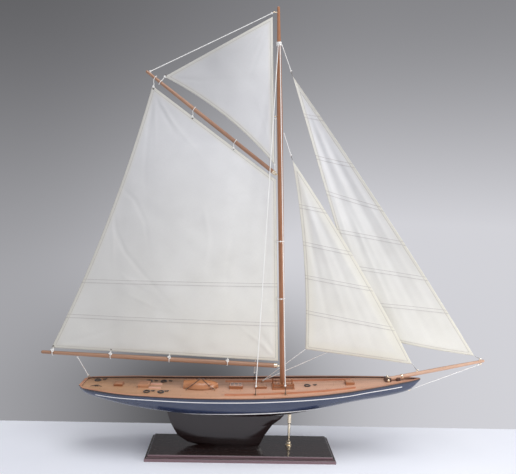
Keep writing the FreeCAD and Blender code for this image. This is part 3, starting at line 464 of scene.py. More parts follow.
def metal(name, bright, dull, rough):
    look = Look(name, metallic=1.0)
    wear = look.noise(look.place, 350.0, 4.0)
    look.colour(look.mix(look.ramp(wear, 0.4, 0.72), rgb(*bright), rgb(*dull)))
    look.roughness(look.ramp(wear, 0.3, 0.7, rough, rough + 0.15))
    look.bump(look.noise(look.place, 2500.0), 0.08, 0.05 * MM)
    return look.material


def thread_look(name, light, dark):
    look = Look(name, sheen_weight=0.3)
    fuzz = look.noise(look.place, 3000.0, 3.0, 0.7)
    drift = look.noise(look.place, 60.0)
    share = look.add(look.times(fuzz, 0.6), look.times(drift, 0.4))
    look.colour(look.mix(look.ramp(share, 0.3, 0.7), rgb(*dark), rgb(*light)))
    look.roughness(look.ramp(fuzz, 0.2, 0.8, 0.65, 0.9))
    look.bump(fuzz, 0.3, 0.08 * MM)
    return look.material


def paint(material, *nodes):
    for node in nodes:
        for slot in NODES[node].material_slots:
            slot.material = material


# ======== threads and cords ========
LINEN = thread_look("white_thread", (0.93, 0.92, 0.90), (0.78, 0.77, 0.74))
TARRED = thread_look("dark_cord", (0.075, 0.06, 0.055), (0.02, 0.016, 0.015))


def declare(piece, node, bodies):
    """Hides the CAD node that a piece stands for; the piece rides on its body when it has one, and stays
    where it is when it has more.
    """
    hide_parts(node)
    if len(bodies) == 1:
        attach(piece, bodies[0])
    else:
        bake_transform(piece)


def taut_thread(name, node, places, diameter, bodies, knots, reach=0.0):
    """Thread pulled straight between the ends of a CAD solid, reaching past both by a little."""
    low, high = ends(places)
    pull = unit(high - low)
    low, high = low - pull * reach, high + pull * reach
    level = math.hypot(*(high - low)[:2]) / np.linalg.norm(high - low)
    middle = (low + high) / 2 - UP * TAUT_SAG * level * np.linalg.norm(high - low)
    path = spline_points([low, middle, high])
    meshes = [rope_mesh(path, diameter)]
    for which, end, inward in (("low", low, pull), ("high", high, -pull)):
        if which in knots:
            meshes.append(knot_mesh(end + inward * KNOT * 0.4, KNOT, 0.75 * diameter))
    piece = joined(name, meshes, LINEN)
    declare(piece, node, bodies)


def shrouds():
    for k, places in enumerate(islands("shrouds")):
        taut_thread(f"shroud_{k + 1}", "shrouds", places, SHROUD, ["hull"], ["low"])


def running_threads():
    for node, bodies, knots, reach in (
        ("bobstay", ["hull"], ["high"], 0.4),
        ("peak_halyard", ["gaff_and_topsail"], ["low", "high"], 0.3),
        ("throat_halyard", ["gaff_and_topsail"], ["high"], 0.3),
        ("jib_halyard", ["jib_sail"], ["low"], 0.8),
        ("staysail_halyard", ["staysail_sail"], ["low"], 0.8),
        ("jib_sheet", ["hull", "jib_sail"], ["low"], 0.3),
        ("staysail_sheet", ["hull", "staysail_sail"], ["low"], 0.3),
        ("mainsheet", ["hull", "boom_and_mainsail"], ["low", "high"], 0.3),
    ):
        taut_thread(node + "_thread", node, vertices(node), THREAD, bodies, knots, reach * MM)


def dinghy_cords():
    """Two cords over the upturned boat, each from a starboard eye over the keel to a port eye."""
    for end, eye_x, shoulder, ridge_x in (
        ("aft", -76.0, (-66.65, 9.9, 94.8), -59.0),
        ("fore", -38.0, (-47.35, 9.0, 94.65), -55.0),
    ):
        half = [(eye_x, 12.5, 88.95), shoulder, (ridge_x, 2.5, 99.5)]
        route = [(x, -y, z) for x, y, z in half] + list(reversed(half))
        path = spline_points(np.array(route) * MM)
        meshes = [rope_mesh(path, LASHING_CORD)]
        meshes += [knot_mesh(place, DINGHY_KNOT, 0.5 * MM) for place in (path[0], path[-1])]
        piece = joined(f"dinghy_cord_{end}", meshes, TARRED)
        declare(piece, "dinghy_lashing", ["hull"])


def rope_coils():
    """Flat coils on the deck: turns outward on the deck, then back in on top of them."""
    for k, places in enumerate(islands("rope_coils")):
        low, high = places.min(0), places.max(0)
        centre = (low + high) / 2
        floor = high[2] - 1.6 * MM + COIL_CORD / 2
        route = []
        points = COIL_TURNS * COIL_POINTS
        for layer in range(2):
            for step in range(points + (layer == 1)):
                share = step / points
                out = share if layer == 0 else 1 - share
                angle = 2 * math.pi * (step + layer * points) / COIL_POINTS + 1.7 * k
                wobble = 0.12 * MM * math.sin(3.1 * angle + 2.3 * k)
                radius = COIL_INSIDE + (COIL_OUTSIDE - COIL_INSIDE) * out + wobble
                lift = floor + (0.72 * MM if layer else 0.0) + 0.1 * MM * math.sin(1.7 * angle)
                x, y = centre[0] + radius * math.cos(angle), centre[1] + radius * math.sin(angle)
                route.append((x, y, lift))
        path = spline_points(route)
        piece = joined(f"rope_coil_{k + 1}", [rope_mesh(path, COIL_CORD, sides=8, step=0.6)], TARRED)
        declare(piece, "rope_coils", ["hull"])


def tie_meshes(spar_node, places, turns, tail_up, knot, knot_share, knot_out):
    """Turns of thread round a spar, its tails to the cloth, and a knot at a share of the way along them.

    tail_up says that the cloth is above the spar. knot_out is how far the knot stands out to starboard.
    Also gives the place of the cloth's eyelet.
    """
    foot, axis, _ = spar(spar_node)
    out = places - foot
    along = out @ axis
    side = (out - np.outer(along, axis)) @ unit(UP - axis * (axis @ UP))
    beyond = -side if tail_up else side
    at = foot + axis * along[beyond > 0].mean()
    tail_end = places[np.argmax(-beyond)]
    ring = np.linalg.norm(out - np.outer(along, axis), axis=1)[beyond > 0].max() - TIE / 2
    meshes = [rope_mesh(spline_points(wraps(at, axis, ring, turns, TIE * 1.1)), TIE, sides=8)]
    toward = unit(tail_end - at - axis * (axis @ (tail_end - at)))
    hem_place = tail_end + toward * HEM * 0.5
    hem_place[1] = places[:, 1].mean()
    for aside in (-0.5, 0.5):
        start = at + toward * ring + TO_PORT * aside * TIE
        meshes.append(rope_mesh([start, (start + tail_end) / 2, hem_place], TIE, sides=8))
    knot_at = at + toward * ring + (hem_place - at - toward * ring) * knot_share - TO_PORT * knot_out
    meshes.append(knot_mesh(knot_at, knot, TIE * 1.2, turn=at[0] * KNOT_TURNS))
    for lean in (-1.0, 0.7):
        loose = [knot_at, knot_at + axis * lean * 1.2 * MM - TO_PORT * 0.9 * MM]
        loose.append(knot_at + axis * lean * 2.2 * MM - TO_PORT * 0.5 * MM - UP * 0.9 * MM)
        meshes.append(rope_mesh(spline_points(loose), TIE * 0.8, sides=6))
    return meshes, hem_place


def eyelets(name, places, body):
    """Small dark eyelets pressed through the cloth where its ties pass."""
    profile = [(0.0, -0.3), (1.0, -0.3), (1.3, -0.15), (1.3, 0.15), (1.0, 0.3), (0.0, 0.3)]
    shape = [(radius * MM, side * MM) for radius, side in profile]
    meshes = [turned_mesh(shape, place, axis=TO_PORT) for place in places]
    look = metal("dark_eyelet_" + name, (0.10, 0.075, 0.06), (0.035, 0.03, 0.028), 0.4)
    placed(name, meshes, look, body)


def spar_ties():
    for name, node, spar_node, body, tail_up, knot, knot_share, knot_out in (
        ("boom_ties", "foot_ties", "boom", "boom_and_mainsail", True, BOOM_KNOT, 0.0, BOOM_KNOT_OUT),
        ("gaff_ties", "head_ties", "gaff", "gaff_and_topsail", False, KNOT, 0.75, TIE),
    ):
        meshes, holes = [], []
        for places in islands(node):
            turns, hole = tie_meshes(spar_node, places, 1, tail_up, knot, knot_share, knot_out)
            meshes += turns
            holes.append(hole)
        placed(name, meshes, LINEN, body, node)
        eyelets(name + "_eyelets", holes, body)


def luff_rings():
    """Rings of thread round the mast, each with a small knot, staying where they stand."""
    foot, axis, radius = spar("mast")
    meshes, widest = [], 0.0
    for places in islands("luff_hoops"):
        centre = (places.min(0) + places.max(0)) / 2
        ring = (places[:, 1].max() - places[:, 1].min()) / 2 - TIE / 2
        widest = max(widest, ring)
        meshes.append(rope_mesh(spline_points(wraps(centre, axis, ring, 1.1, TIE * 0.5)), TIE, sides=8))
        meshes.append(knot_mesh(centre - TO_PORT * ring, KNOT * 0.8, TIE * 0.8))
    piece = joined("luff_rings", meshes, LINEN)
    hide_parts("luff_hoops")
    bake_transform(piece)


def small_lashings():
    _, axis, _ = spar("mast")
    hounds = vertices("hounds_lashing")
    centre = (hounds.min(0) + hounds.max(0)) / 2
    ring = (hounds[:, 1].max() - hounds[:, 1].min()) / 2 - SHROUD / 2
    meshes = [rope_mesh(spline_points(wraps(centre, axis, ring, 4, SHROUD)), SHROUD)]
    meshes.append(knot_mesh(centre - TO_PORT * (ring + 0.5 * MM), KNOT * 1.2, SHROUD * 0.8))
    placed("hounds_wrap", meshes, LINEN, "hull", "hounds_lashing")

    solids = islands("topsail_lashing")
    aft = [places for places in solids if places[:, 0].mean() < 0]
    fore = max((places for places in solids if places[:, 0].mean() > 0), key=len)
    meshes, hole = tie_meshes("gaff", np.concatenate(aft), 1, True, KNOT, 0.8, TIE)
    low, high = ends(fore)
    meshes.append(rope_mesh([low, (low + high) / 2, high + unit(high - low) * HEM * 0.6], TIE))
    meshes.append(knot_mesh(high, KNOT * 0.9, TIE * 0.8))
    placed("topsail_ties", meshes, LINEN, "gaff_and_topsail", "topsail_lashing")
    eyelets("topsail_eyelet", [hole], "gaff_and_topsail")


# ======== cloth ========
def sailcloth(name, seams, painted_glow_at):
    """Cotton with a fine weave, doubled hems, stitched double seams, light coming through, and painted
    shade.

    seams are lines from luff to leech, each the middle of two rows of stitches. Near its edges, out to
    the distance given last, the cloth is painted yellower: a painted glow of light shining through it.
    """
    look = Look(name, sheen_weight=0.25, sheen_roughness=0.5)
    edge = look.node("Attribute", {}, 2, attribute_name="edge")
    cut = look.node("Attribute", {}, 1, attribute_name="cut")
    cut_x, _, cut_z = look.separate(cut)
    warp = look.noise(look.combine(look.times(cut_x, 3200.0), 0.0, look.times(cut_z, 240.0)), 1.0, 2.0)
    weft = look.noise(look.combine(look.times(cut_x, 240.0), 4.0, look.times(cut_z, 3200.0)), 1.0, 2.0)
    weave = look.add(look.times(warp, 0.5), look.times(weft, 0.5))
    blotch = look.noise(cut, 16.0, 4.0)
    low_cloth = look.mix(look.ramp(blotch, 0.32, 0.7), rgb(0.83, 0.81, 0.74), rgb(0.89, 0.875, 0.82))
    high_cloth = look.mix(look.ramp(blotch, 0.32, 0.7), rgb(0.78, 0.78, 0.79), rgb(0.84, 0.84, 0.845))
    cloth = look.mix(look.ramp(cut_z, 0.16, 0.42), low_cloth, high_cloth)
    # painted glow: near its edges the cloth is painted yellower, for light shining through the cloth
    cloth = look.mix(look.ramp(edge, painted_glow_at, 0.0, 0.0, 0.5), cloth, rgb(0.87, 0.83, 0.68))
    cloth = look.mix(look.times(look.ramp(weave, 0.42, 0.6), 0.14), cloth, rgb(0.64, 0.62, 0.60))
    in_hem = look.ramp(edge, HEM + 0.3 * MM, HEM - 0.3 * MM)
    # painted shade: the cloth is painted darker towards aft and, high up, towards the peak, where less light
    # falls on it
    aft_painted_shade = look.times(look.ramp(cut_x, -0.02, -0.17), 0.30)
    peak_painted_shade = look.times(look.times(look.ramp(cut_z, 0.40, 0.54), look.ramp(cut_x, 0.03, -0.05)), 0.60)
    cloth = look.mix(look.either(aft_painted_shade, peak_painted_shade), cloth, rgb(0.40, 0.40, 0.41))
    cloth = look.mix(look.times(in_hem, 0.20), cloth, rgb(0.70, 0.67, 0.57))
    rows = look.band(edge, HEM - 0.9 * MM, 0.45 * MM, 0.25 * MM)
    for low, high in seams:
        run = unit(high - low)
        square = (-run[2], 0.0, run[0])
        beside = look.node("VectorMath", {0: cut, 1: square}, 1, operation="DOT_PRODUCT")
        beside = look.math("ABSOLUTE", look.minus(beside, float(np.dot(low, square))))
        rows = look.either(rows, look.band(beside, SEAM_GAP / 2, 0.6 * MM, 0.3 * MM))
    dashes = look.ramp(look.noise(cut, 1100.0, 1.0), 0.40, 0.55, 0.6, 1.0)
    stitch = look.times(rows, dashes)
    cloth = look.mix(look.times(stitch, 0.52), cloth, rgb(0.40, 0.36, 0.35))
    look.colour(cloth)
    look.roughness(look.ramp(weave, 0.3, 0.7, 0.78, 0.95))
    height = look.add(look.times(weave, 0.35), look.times(in_hem, 1.2))
    look.bump(look.minus(height, look.times(stitch, 0.9)), 0.55, 0.25 * MM)
    glow = look.node("BsdfTranslucent", {"Color": cloth})
    mixed = look.node("MixShader", {0: GLOW, 1: look.surface.outputs[0], 2: glow})
    look.put(look.tree.nodes["Material Output"].inputs["Surface"], mixed)
    return look.material


def bowed(a, b, bow, middle):
    """Edge from a to b that stands out from the middle by bow, as places at shares along it."""
    span = b - a
    out = (a + b) / 2 - middle
    out = unit(out - span * (out @ span) / (span @ span))
    return lambda t: a + np.outer(t, span) + np.outer(4 * bow * np.asarray(t) * (1 - np.asarray(t)), out)


def fixed(place):
    return lambda t: np.outer(np.ones(np.size(t)), place)


def away_from(points, line):
    """Distance of each point from a broken line, seen from the side."""
    flat = points[:, [0, 2]]
    nearest = np.full(len(points), np.inf)
    for a, b in zip(line, line[1:]):
        a, b = np.array(a)[[0, -1]], np.array(b)[[0, -1]]
        share = np.clip((flat - a) @ (b - a) / max((b - a) @ (b - a), 1e-12), 0, 1)
        nearest = np.minimum(nearest, np.linalg.norm(flat - a - np.outer(share, b - a), axis=1))
    return nearest


def fold_height(points, height, width, line):
    """Soft ridge along a line seen from the side, strongest near its start and gone at its end."""
    flat = points[:, [0, 2]]
    line = np.array(line)[:, [0, -1]]
    lengths = np.linalg.norm(np.diff(line, axis=0), axis=1)
    reached = np.concatenate([[0.0], np.cumsum(lengths)]) / lengths.sum()
    ridge = np.zeros(len(points))
    for k, (a, b) in enumerate(zip(line, line[1:])):
        share = np.clip((flat - a) @ (b - a) / ((b - a) @ (b - a)), 0, 1)
        away = np.linalg.norm(flat - a - np.outer(share, b - a), axis=1)
        along = reached[k] + share * (reached[k + 1] - reached[k])
        taper = np.minimum(along / 0.15, 1.0) * (1 - along) ** 0.8
        ridge = np.maximum(ridge, taper * np.exp(-(away / width) ** 2))
    return height * ridge


def ripples(points, height):
    """Slight unevenness of cloth: crossing waves of a few centimetres."""
    x, z = points[:, 0], points[:, 2]
    waves = np.zeros(len(points))
    for k in range(7):
        heading = 0.9 * k + 0.4
        length = (62.0 - 6.0 * k) * MM
        phase = 2 * math.pi * (x * math.cos(heading) + z * math.sin(heading)) / length
        waves += np.sin(phase + 2.1 * k + 1.3 * np.sin(phase * 0.37 + k)) * length
    return height * waves / (100 * MM)


def sail(name, node, body, edges, belly, seams, folds, size, twist=None, painted_glow_at=8 * MM):
    """Thin two-sided cloth on a grid: across runs from luff to leech, up from foot to head.

    edges are the foot, head, luff and leech. seams are (luff share, leech share) pairs from the foot.
    folds are (height, width, line) in metres, each line a list of places whose first and last parts are
    x and z. size is the width and length the cloth is cut from. twist, when given, keeps the cloth where it
    stands instead of riding on body; the body and the bend that it names are not used.
    """
    foot, head, luff, leech = edges
    pointed = np.ptp(head(np.array([0.0, 1.0])), axis=0).max() < 0.1 * MM
    columns, rows = int(size[0] / GRID), int(size[1] / GRID)
    across, up = np.meshgrid(np.linspace(0, 1, columns + 1), np.linspace(0, 1, rows + 1))
    ids = np.arange(across.size).reshape(across.shape)
    across, up = across.ravel(), up.ravel()
    if pointed:
        ids[-1, :] = ids[-1, 0]
    u, v = across[:, None], up[:, None]
    corners = [edge(np.array([t]))[0] for edge, t in ((foot, 0.0), (foot, 1.0), (head, 0.0), (head, 1.0))]
    flat = (1 - v) * foot(across) + v * head(across) + (1 - u) * luff(up) + u * leech(up)
    flat -= (1 - u) * (1 - v) * corners[0] + u * (1 - v) * corners[1]
    flat -= (1 - u) * v * corners[2] + u * v * corners[3]
    faces = []
    for row in range(rows):
        for col in range(columns):
            face = (ids[row, col], ids[row, col + 1], ids[row + 1, col + 1], ids[row + 1, col])
            faces.append(tuple(dict.fromkeys(int(i) for i in face)))
    rim = np.linspace(0, 1, RIM_STEPS)
    rims = [foot(rim), luff(rim), leech(rim)] + ([] if pointed else [head(rim)])
    edge = np.min([away_from(flat, line) for line in rims], axis=0)
    lines = [(luff(np.array([low]))[0], leech(np.array([high]))[0]) for low, high in seams]
    seam = np.min([away_from(flat, line) for line in lines], axis=0) if lines else np.ones(len(flat))
    slack = np.minimum(edge / HELD_EDGE, 1.0)
    lower_is_fuller = 0.55 + 0.45 * (1 - up)
    bulge = belly * 16 * across * (1 - across) * (up * (1 - up)) * lower_is_fuller
    bulge = bulge + slack * ripples(flat, RIPPLE)
    for fold in folds:
        bulge = bulge + slack * fold_height(flat, *fold)
    seam_pull = SEAM_PULL * np.exp(-(seam / SEAM_REACH) ** 2)
    surface = flat + np.outer(bulge - seam_pull, TO_PORT)
    count = len(surface)
    border = list(ids[0, :]) + list(ids[1:, -1]) + ([] if pointed else list(ids[-1, -2::-1]))
    border += list(ids[-2:0:-1, 0])
    points = np.concatenate([surface - TO_PORT * CLOTH / 2, surface + TO_PORT * CLOTH / 2])
    both = faces + [tuple(i + count for i in reversed(face)) for face in faces]
    for a, b in zip(border, border[1:] + border[:1]):
        both.append((int(b), int(a), int(a) + count, int(b) + count))
    used = np.unique([i for face in both for i in face])
    renumber = {int(old): new for new, old in enumerate(used)}
    both = [tuple(renumber[i] for i in face) for face in both]
    piece = mesh_piece(name, points[used], both, sailcloth(name, lines, painted_glow_at))
    attribute = piece.data.attributes.new("edge", "FLOAT", "POINT")
    attribute.data.foreach_set("value", np.concatenate([edge, edge])[used].astype(np.float32))
    attribute = piece.data.attributes.new("cut", "FLOAT_VECTOR", "POINT")
    attribute.data.foreach_set("vector", np.concatenate([flat, flat])[used].astype(np.float32).ravel())
    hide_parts(node)
    if twist:
        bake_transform(piece)
    else:
        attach(piece, body)


def lines_mm(*folds):
    """Folds given in millimetres: height, width and a line of (x, z)."""
    return [(height * MM, width * MM, np.array(line) * MM) for height, width, line in folds]


def mainsail():
    tack, clew = corner("mainsail", (0.6, 0, -1)), corner("mainsail", (-1, 0, -0.2))
    peak, throat = corner("mainsail", (-0.5, 0, 1)), corner("mainsail", (1, 0, 0.6))
    middle = (tack + clew + peak + throat) / 4
    folds = lines_mm(
        (-0.88, 2.8, [(-129, 480), (-105, 445), (-81, 418), (-60, 396)]),
        (0.77, 2.8, [(-129, 480), (-112, 448), (-96, 420)]),
        (0.72, 2.8, [(-130, 478), (-136, 440), (-140, 380), (-137, 340)]),
        (-0.66, 2.8, [(-130, 478), (-128, 440), (-126, 398)]),
        (0.83, 2.8, [(-181, 338), (-178, 300), (-163, 270), (-140, 243), (-107, 208), (-84, 186)]),
        (-0.66, 2.4, [(-181, 325), (-180, 290), (-178, 243)]),
        (0.66, 2.8, [(-176, 360), (-152, 340), (-137, 310), (-129, 262)]),
        (-0.55, 2.4, [(-170, 240), (-146, 228), (-120, 214)]),
        (-0.44, 2.4, [(-160, 215), (-120, 196), (-84, 192)]),
        (-0.83, 2.8, [(45, 130), (24, 150), (2, 166), (-12, 178)]),
        (0.72, 2.8, [(45, 131), (30, 154), (14, 176)]),
        (-0.55, 2.4, [(44, 132), (37, 152), (33, 176)]),
        (0.50, 3.6, [(26, 320), (29, 250), (31, 180)]),
        (0.77, 3.6, [(-257, 138), (-222, 150), (-190, 161), (-150, 176)]),
        (-0.61, 2.8, [(-255, 139), (-210, 141), (-160, 148)]),
        (0.50, 2.4, [(-28, 345), (-14, 352), (6, 352)]),
        (0.44, 2.8, [(-30, 258), (-4, 272), (20, 268)]),
        (-0.44, 3.6, [(-60, 335), (-52, 290), (-58, 240)]),
        (0.39, 3.6, [(-18, 300), (-28, 250), (-22, 200)]),
    )
    edges = [bowed(tack, clew, 0.0, middle), bowed(throat, peak, 0.0, middle),
             bowed(tack, throat, 0.0, middle), bowed(clew, peak, -8.5 * MM, middle)]
    twist = ("gaff_and_topsail", tuple(HEAD_SQUARE * BEND_FROM), tuple(HEAD_SQUARE * BEND_TO))
    sail("mainsail_cloth", "mainsail", "boom_and_mainsail", edges, -7.0 * MM,
         [(0.205, 0.128), (0.423, 0.266)], folds, (0.3200, 0.3700), twist=twist)


def topsail():
    tack, head = corner("topsail", (1, 0, -1)), corner("topsail", (0, 0, 1))
    clew = corner("topsail", (-1, 0, 0))
    middle = (tack + head + clew) / 3
    folds = lines_mm(
        (0.61, 2.8, [(22, 583), (8, 545), (-8, 500)]),
        (-0.61, 2.8, [(21, 583), (-14, 545), (-60, 515)]),
        (0.55, 2.8, [(-114, 503), (-70, 500), (-30, 505)]),
        (-0.55, 2.8, [(31, 398), (20, 440), (6, 480)]),
    )
    edges = [bowed(tack, clew, -9.5 * MM, middle), fixed(head),
             bowed(tack, head, 0.0, middle), bowed(clew, head, 0.0, middle)]
    sail("topsail_cloth", "topsail", "gaff_and_topsail", edges, -5.0 * MM, [], folds, (0.1950, 0.2100))


def headsail(node, luff_bow, foot_bow, leech_bow, belly, seams, size, waves, painted_glow_at):
    """Three-cornered sail with cross seams and soft folds that fan out from its head.

    seams are (luff share, leech share) pairs from the head. waves are the folds: the share of the foot
    each points at, its height and width in millimetres, and the shares of its run where it starts and ends.
    """
    head, tack = corner(node, (0, 0, 1)), corner(node, (1, 0, 0))
    clew = corner(node, (0, 1, 0))
    middle = (head + tack + clew) / 3
    luff = bowed(tack, head, luff_bow, middle)
    foot = bowed(tack, clew, foot_bow, middle)
    folds = []
    for share, height, width, start, end in waves:
        at = foot(np.array([share]))[0]
        line = [head + (at - head) * t for t in np.linspace(start, end, 6)]
        folds.append((height * MM, width * MM, line))
    shares = [(1 - low, 1 - high) for low, high in seams]
    edges = [foot, fixed(head), luff, bowed(clew, head, leech_bow, middle)]
    sail(node + "_cloth", node, node + "_sail", edges, belly, shares, folds, size, painted_glow_at=painted_glow_at)


def headsails():
    headsail(
        "jib", 3.7 * MM, 2.5 * MM, 0.0, 6.0 * MM,
        [(0.150, 0.146), (0.316, 0.303), (0.471, 0.438), (0.594, 0.587), (0.721, 0.727), (0.840, 0.872)],
        (0.1600, 0.4600),
        [(0.72, 1.5, 4, 0.06, 0.95), (0.52, -1.3, 4, 0.10, 1.0), (0.34, 1.3, 4, 0.2, 1.0),
         (0.16, -1.0, 4, 0.25, 1.0), (0.87, -1.1, 3, 0.25, 1.0), (0.62, -0.8, 3, 0.5, 1.0)], 6 * MM)
    headsail(
        "staysail", 5.0 * MM, 0.0, -6.5 * MM, -3.0 * MM,
        [(0.252, 0.239), (0.459, 0.434), (0.634, 0.611), (0.828, 0.799)],
        (0.1600, 0.3300),
        [(0.72, 1.2, 4, 0.1, 1.0), (0.5, -1.0, 4, 0.12, 1.0), (0.3, 0.9, 4, 0.2, 1.0),
         (0.12, -0.8, 4, 0.3, 1.0)],
        16 * MM)


# ======== painted hull ========
def rail_heights(count):
    """Both ends of the hull along X, and the rail's height at even steps between them."""
    low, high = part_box("hull_topsides")
    rail = np.concatenate([vertices("cap_rail_starboard"), vertices("taffrail")])
    columns = np.round(rail[:, 0] / MM)
    stations = np.unique(columns)
    tops = [rail[columns == station, 2].max() for station in stations]
    places = np.linspace(low.x, high.x, count)
    return low.x, high.x, np.interp(places, stations * MM, tops)


def topside_paint():
    """Navy with a black edge under the rail, a white cove line and a white boot top; brown inside."""
    look = Look("navy_gloss", coat_weight=0.4, coat_roughness=0.1)
    aft, fore, heights = rail_heights(13)
    curve = look.tree.nodes.new("ShaderNodeFloatCurve")
    line = curve.mapping.curves[0]
    bottom, span = heights.min(), np.ptp(heights)
    shares = (heights - bottom) / span
    line.points[0].location = (0.0, shares[0])
    line.points[1].location = (1.0, shares[-1])
    for k in range(1, len(shares) - 1):
        line.points.new(k / (len(shares) - 1), shares[k])
    curve.mapping.update()
    look.put(curve.inputs["Value"], look.ramp(look.x, aft, fore))
    rail = look.ramp(curve.outputs[0], 0.0, 1.0, bottom, bottom + span)
    drop = look.minus(rail, look.z)
    shade = look.noise(look.place, 14.0, 3.0)
    navy = look.mix(look.ramp(shade, 0.35, 0.65), rgb(0.026, 0.037, 0.080), rgb(0.037, 0.050, 0.098))
    black_edge = look.ramp(drop, 2.0 * MM, 1.5 * MM)
    black = rgb(0.012, 0.011, 0.013)
    navy = look.mix(look.times(black_edge, 0.7), navy, black)
    cove = look.band(drop, COVE_DROP, COVE_WIDTH, 0.15 * MM)
    cove = look.times(cove, look.ramp(look.x, COVE_AFT - 1 * MM, COVE_AFT))
    cove = look.times(cove, look.ramp(look.x, COVE_FORE + 1 * MM, COVE_FORE))
    over_water = look.minus(look.z, look.add(look.times(look.x, WATERLINE_SLOPE), WATERLINE_Z))
    boot = look.band(over_water, BOOT_HEIGHT, BOOT_WIDTH, 0.1 * MM)
    # painted shadow: a thin black line just above the white boot top
    painted_shadow_line = look.band(over_water, PAINTED_SHADOW_HEIGHT, PAINTED_SHADOW_WIDTH, 0.15 * MM)
    navy = look.mix(look.times(painted_shadow_line, 0.7), navy, black)
    white = look.either(cove, boot)
    outside = look.mix(white, navy, rgb(0.86, 0.84, 0.83))
    inward = look.ramp(look.times(look.facing(1), look.y), -0.004, -0.008)
    look.colour(look.mix(inward, outside, rgb(0.10, 0.045, 0.032)))
    grit = look.noise(look.place, 500.0, 3.0)
    look.roughness(look.ramp(grit, 0.3, 0.7, 0.18, 0.28))
    waves = look.times(look.noise(look.place, 30.0), 0.8)
    look.bump(look.add(waves, look.times(grit, 0.1)), 0.1, 0.4 * MM)
    return look.material


def bottom_paint():
    look = Look("bottom_gloss", coat_weight=0.35, coat_roughness=0.14)
    shade = look.noise(look.place, 20.0, 4.0)
    darker, paler = rgb(0.009, 0.0035, 0.0035), rgb(0.017, 0.0075, 0.0075)
    look.colour(look.mix(look.ramp(shade, 0.35, 0.7), darker, paler))
    grit = look.noise(look.place, 600.0, 3.0)
    look.roughness(look.ramp(grit, 0.3, 0.7, 0.16, 0.22))
    look.bump(look.noise(look.place, 25.0), 0.06, 0.3 * MM)
    return look.material


def deck_planks():
    """Narrow fore-and-aft planks with dark seams and staggered butts, redder forward, with painted shade
    aft.
    """
    look = Look("deck_planks", coat_weight=0.2, coat_roughness=0.25)
    plank = look.math("FLOOR", look.math("DIVIDE", look.y, PLANK))
    tone = look.random(plank)
    colour, fine = timber(look, (1.0, 0.0, 0.0), (0.74, 0.44, 0.29), (0.58, 0.31, 0.18))
    # darker and yellower aft: partly a yellower tone of the wood, partly painted shade of the mainsail over
    # the after deck
    aft_painted_shade = look.mix(0.6, colour, rgb(0.44, 0.25, 0.12))
    fore_tone = look.mix(0.35, colour, rgb(0.84, 0.50, 0.38))
    colour = look.mix(look.ramp(look.x, -0.16, 0.02), aft_painted_shade, fore_tone)
    colour = look.mix(look.times(tone, 0.3), colour, rgb(0.36, 0.19, 0.10))
    to_seam = look.math("PINGPONG", look.y, PLANK / 2)
    side_seam = look.ramp(to_seam, 0.28 * MM, 0.12 * MM)
    shifted = look.add(look.x, look.times(tone, 0.09))
    butt = look.ramp(look.math("PINGPONG", shifted, 0.035), 0.3 * MM, 0.12 * MM)
    seam = look.either(side_seam, look.times(butt, 0.8))
    look.colour(look.mix(look.times(seam, 0.75), colour, rgb(0.13, 0.06, 0.035)))
    look.roughness(look.ramp(fine, 0.2, 0.8, 0.38, 0.55))
    look.bump(look.minus(look.times(fine, 0.25), seam), 0.5, 0.2 * MM)
    return look.material


def lacquered_base():
    """Nearly black mahogany under gloss lacquer, with its moulded sides painted paler and redder as painted
    glare.
    """
    look = Look("mahogany", coat_weight=1.0, coat_roughness=0.06)
    colour, fine = timber(look, (1.0, 0.0, 0.0), (0.030, 0.013, 0.011), (0.012, 0.006, 0.006))
    upward = look.math("ABSOLUTE", look.facing(2))
    # painted highlight: faces that don't look up or down are painted paler and redder, standing for the
    # lacquer's glare
    look.colour(look.mix(look.ramp(upward, 0.9, 0.3, 0.0, 0.75), colour, rgb(0.23, 0.13, 0.15)))
    look.roughness(look.ramp(fine, 0.2, 0.8, 0.2, 0.3))
    look.bump(fine, 0.08, 0.1 * MM)
    return look.material


def rail_paint():
    """Varnished top with dark side faces: dark paint outside and painted shade on the inner faces."""
    look = Look("rail_varnish", coat_weight=0.3, coat_roughness=0.15)
    colour, fine = timber(look, (1.0, 0.0, 0.0), (0.60, 0.30, 0.18), (0.42, 0.18, 0.10))
    upward = look.math("ABSOLUTE", look.facing(2))
    # side faces painted dark: dark paint on the outer faces, painted shade on the inner ones
    look.colour(look.mix(look.ramp(upward, 0.8, 0.5), colour, rgb(0.035, 0.016, 0.014)))
    look.roughness(look.ramp(fine, 0.2, 0.8, 0.3, 0.45))
    look.bump(fine, 0.15, 0.1 * MM)
    return look.material


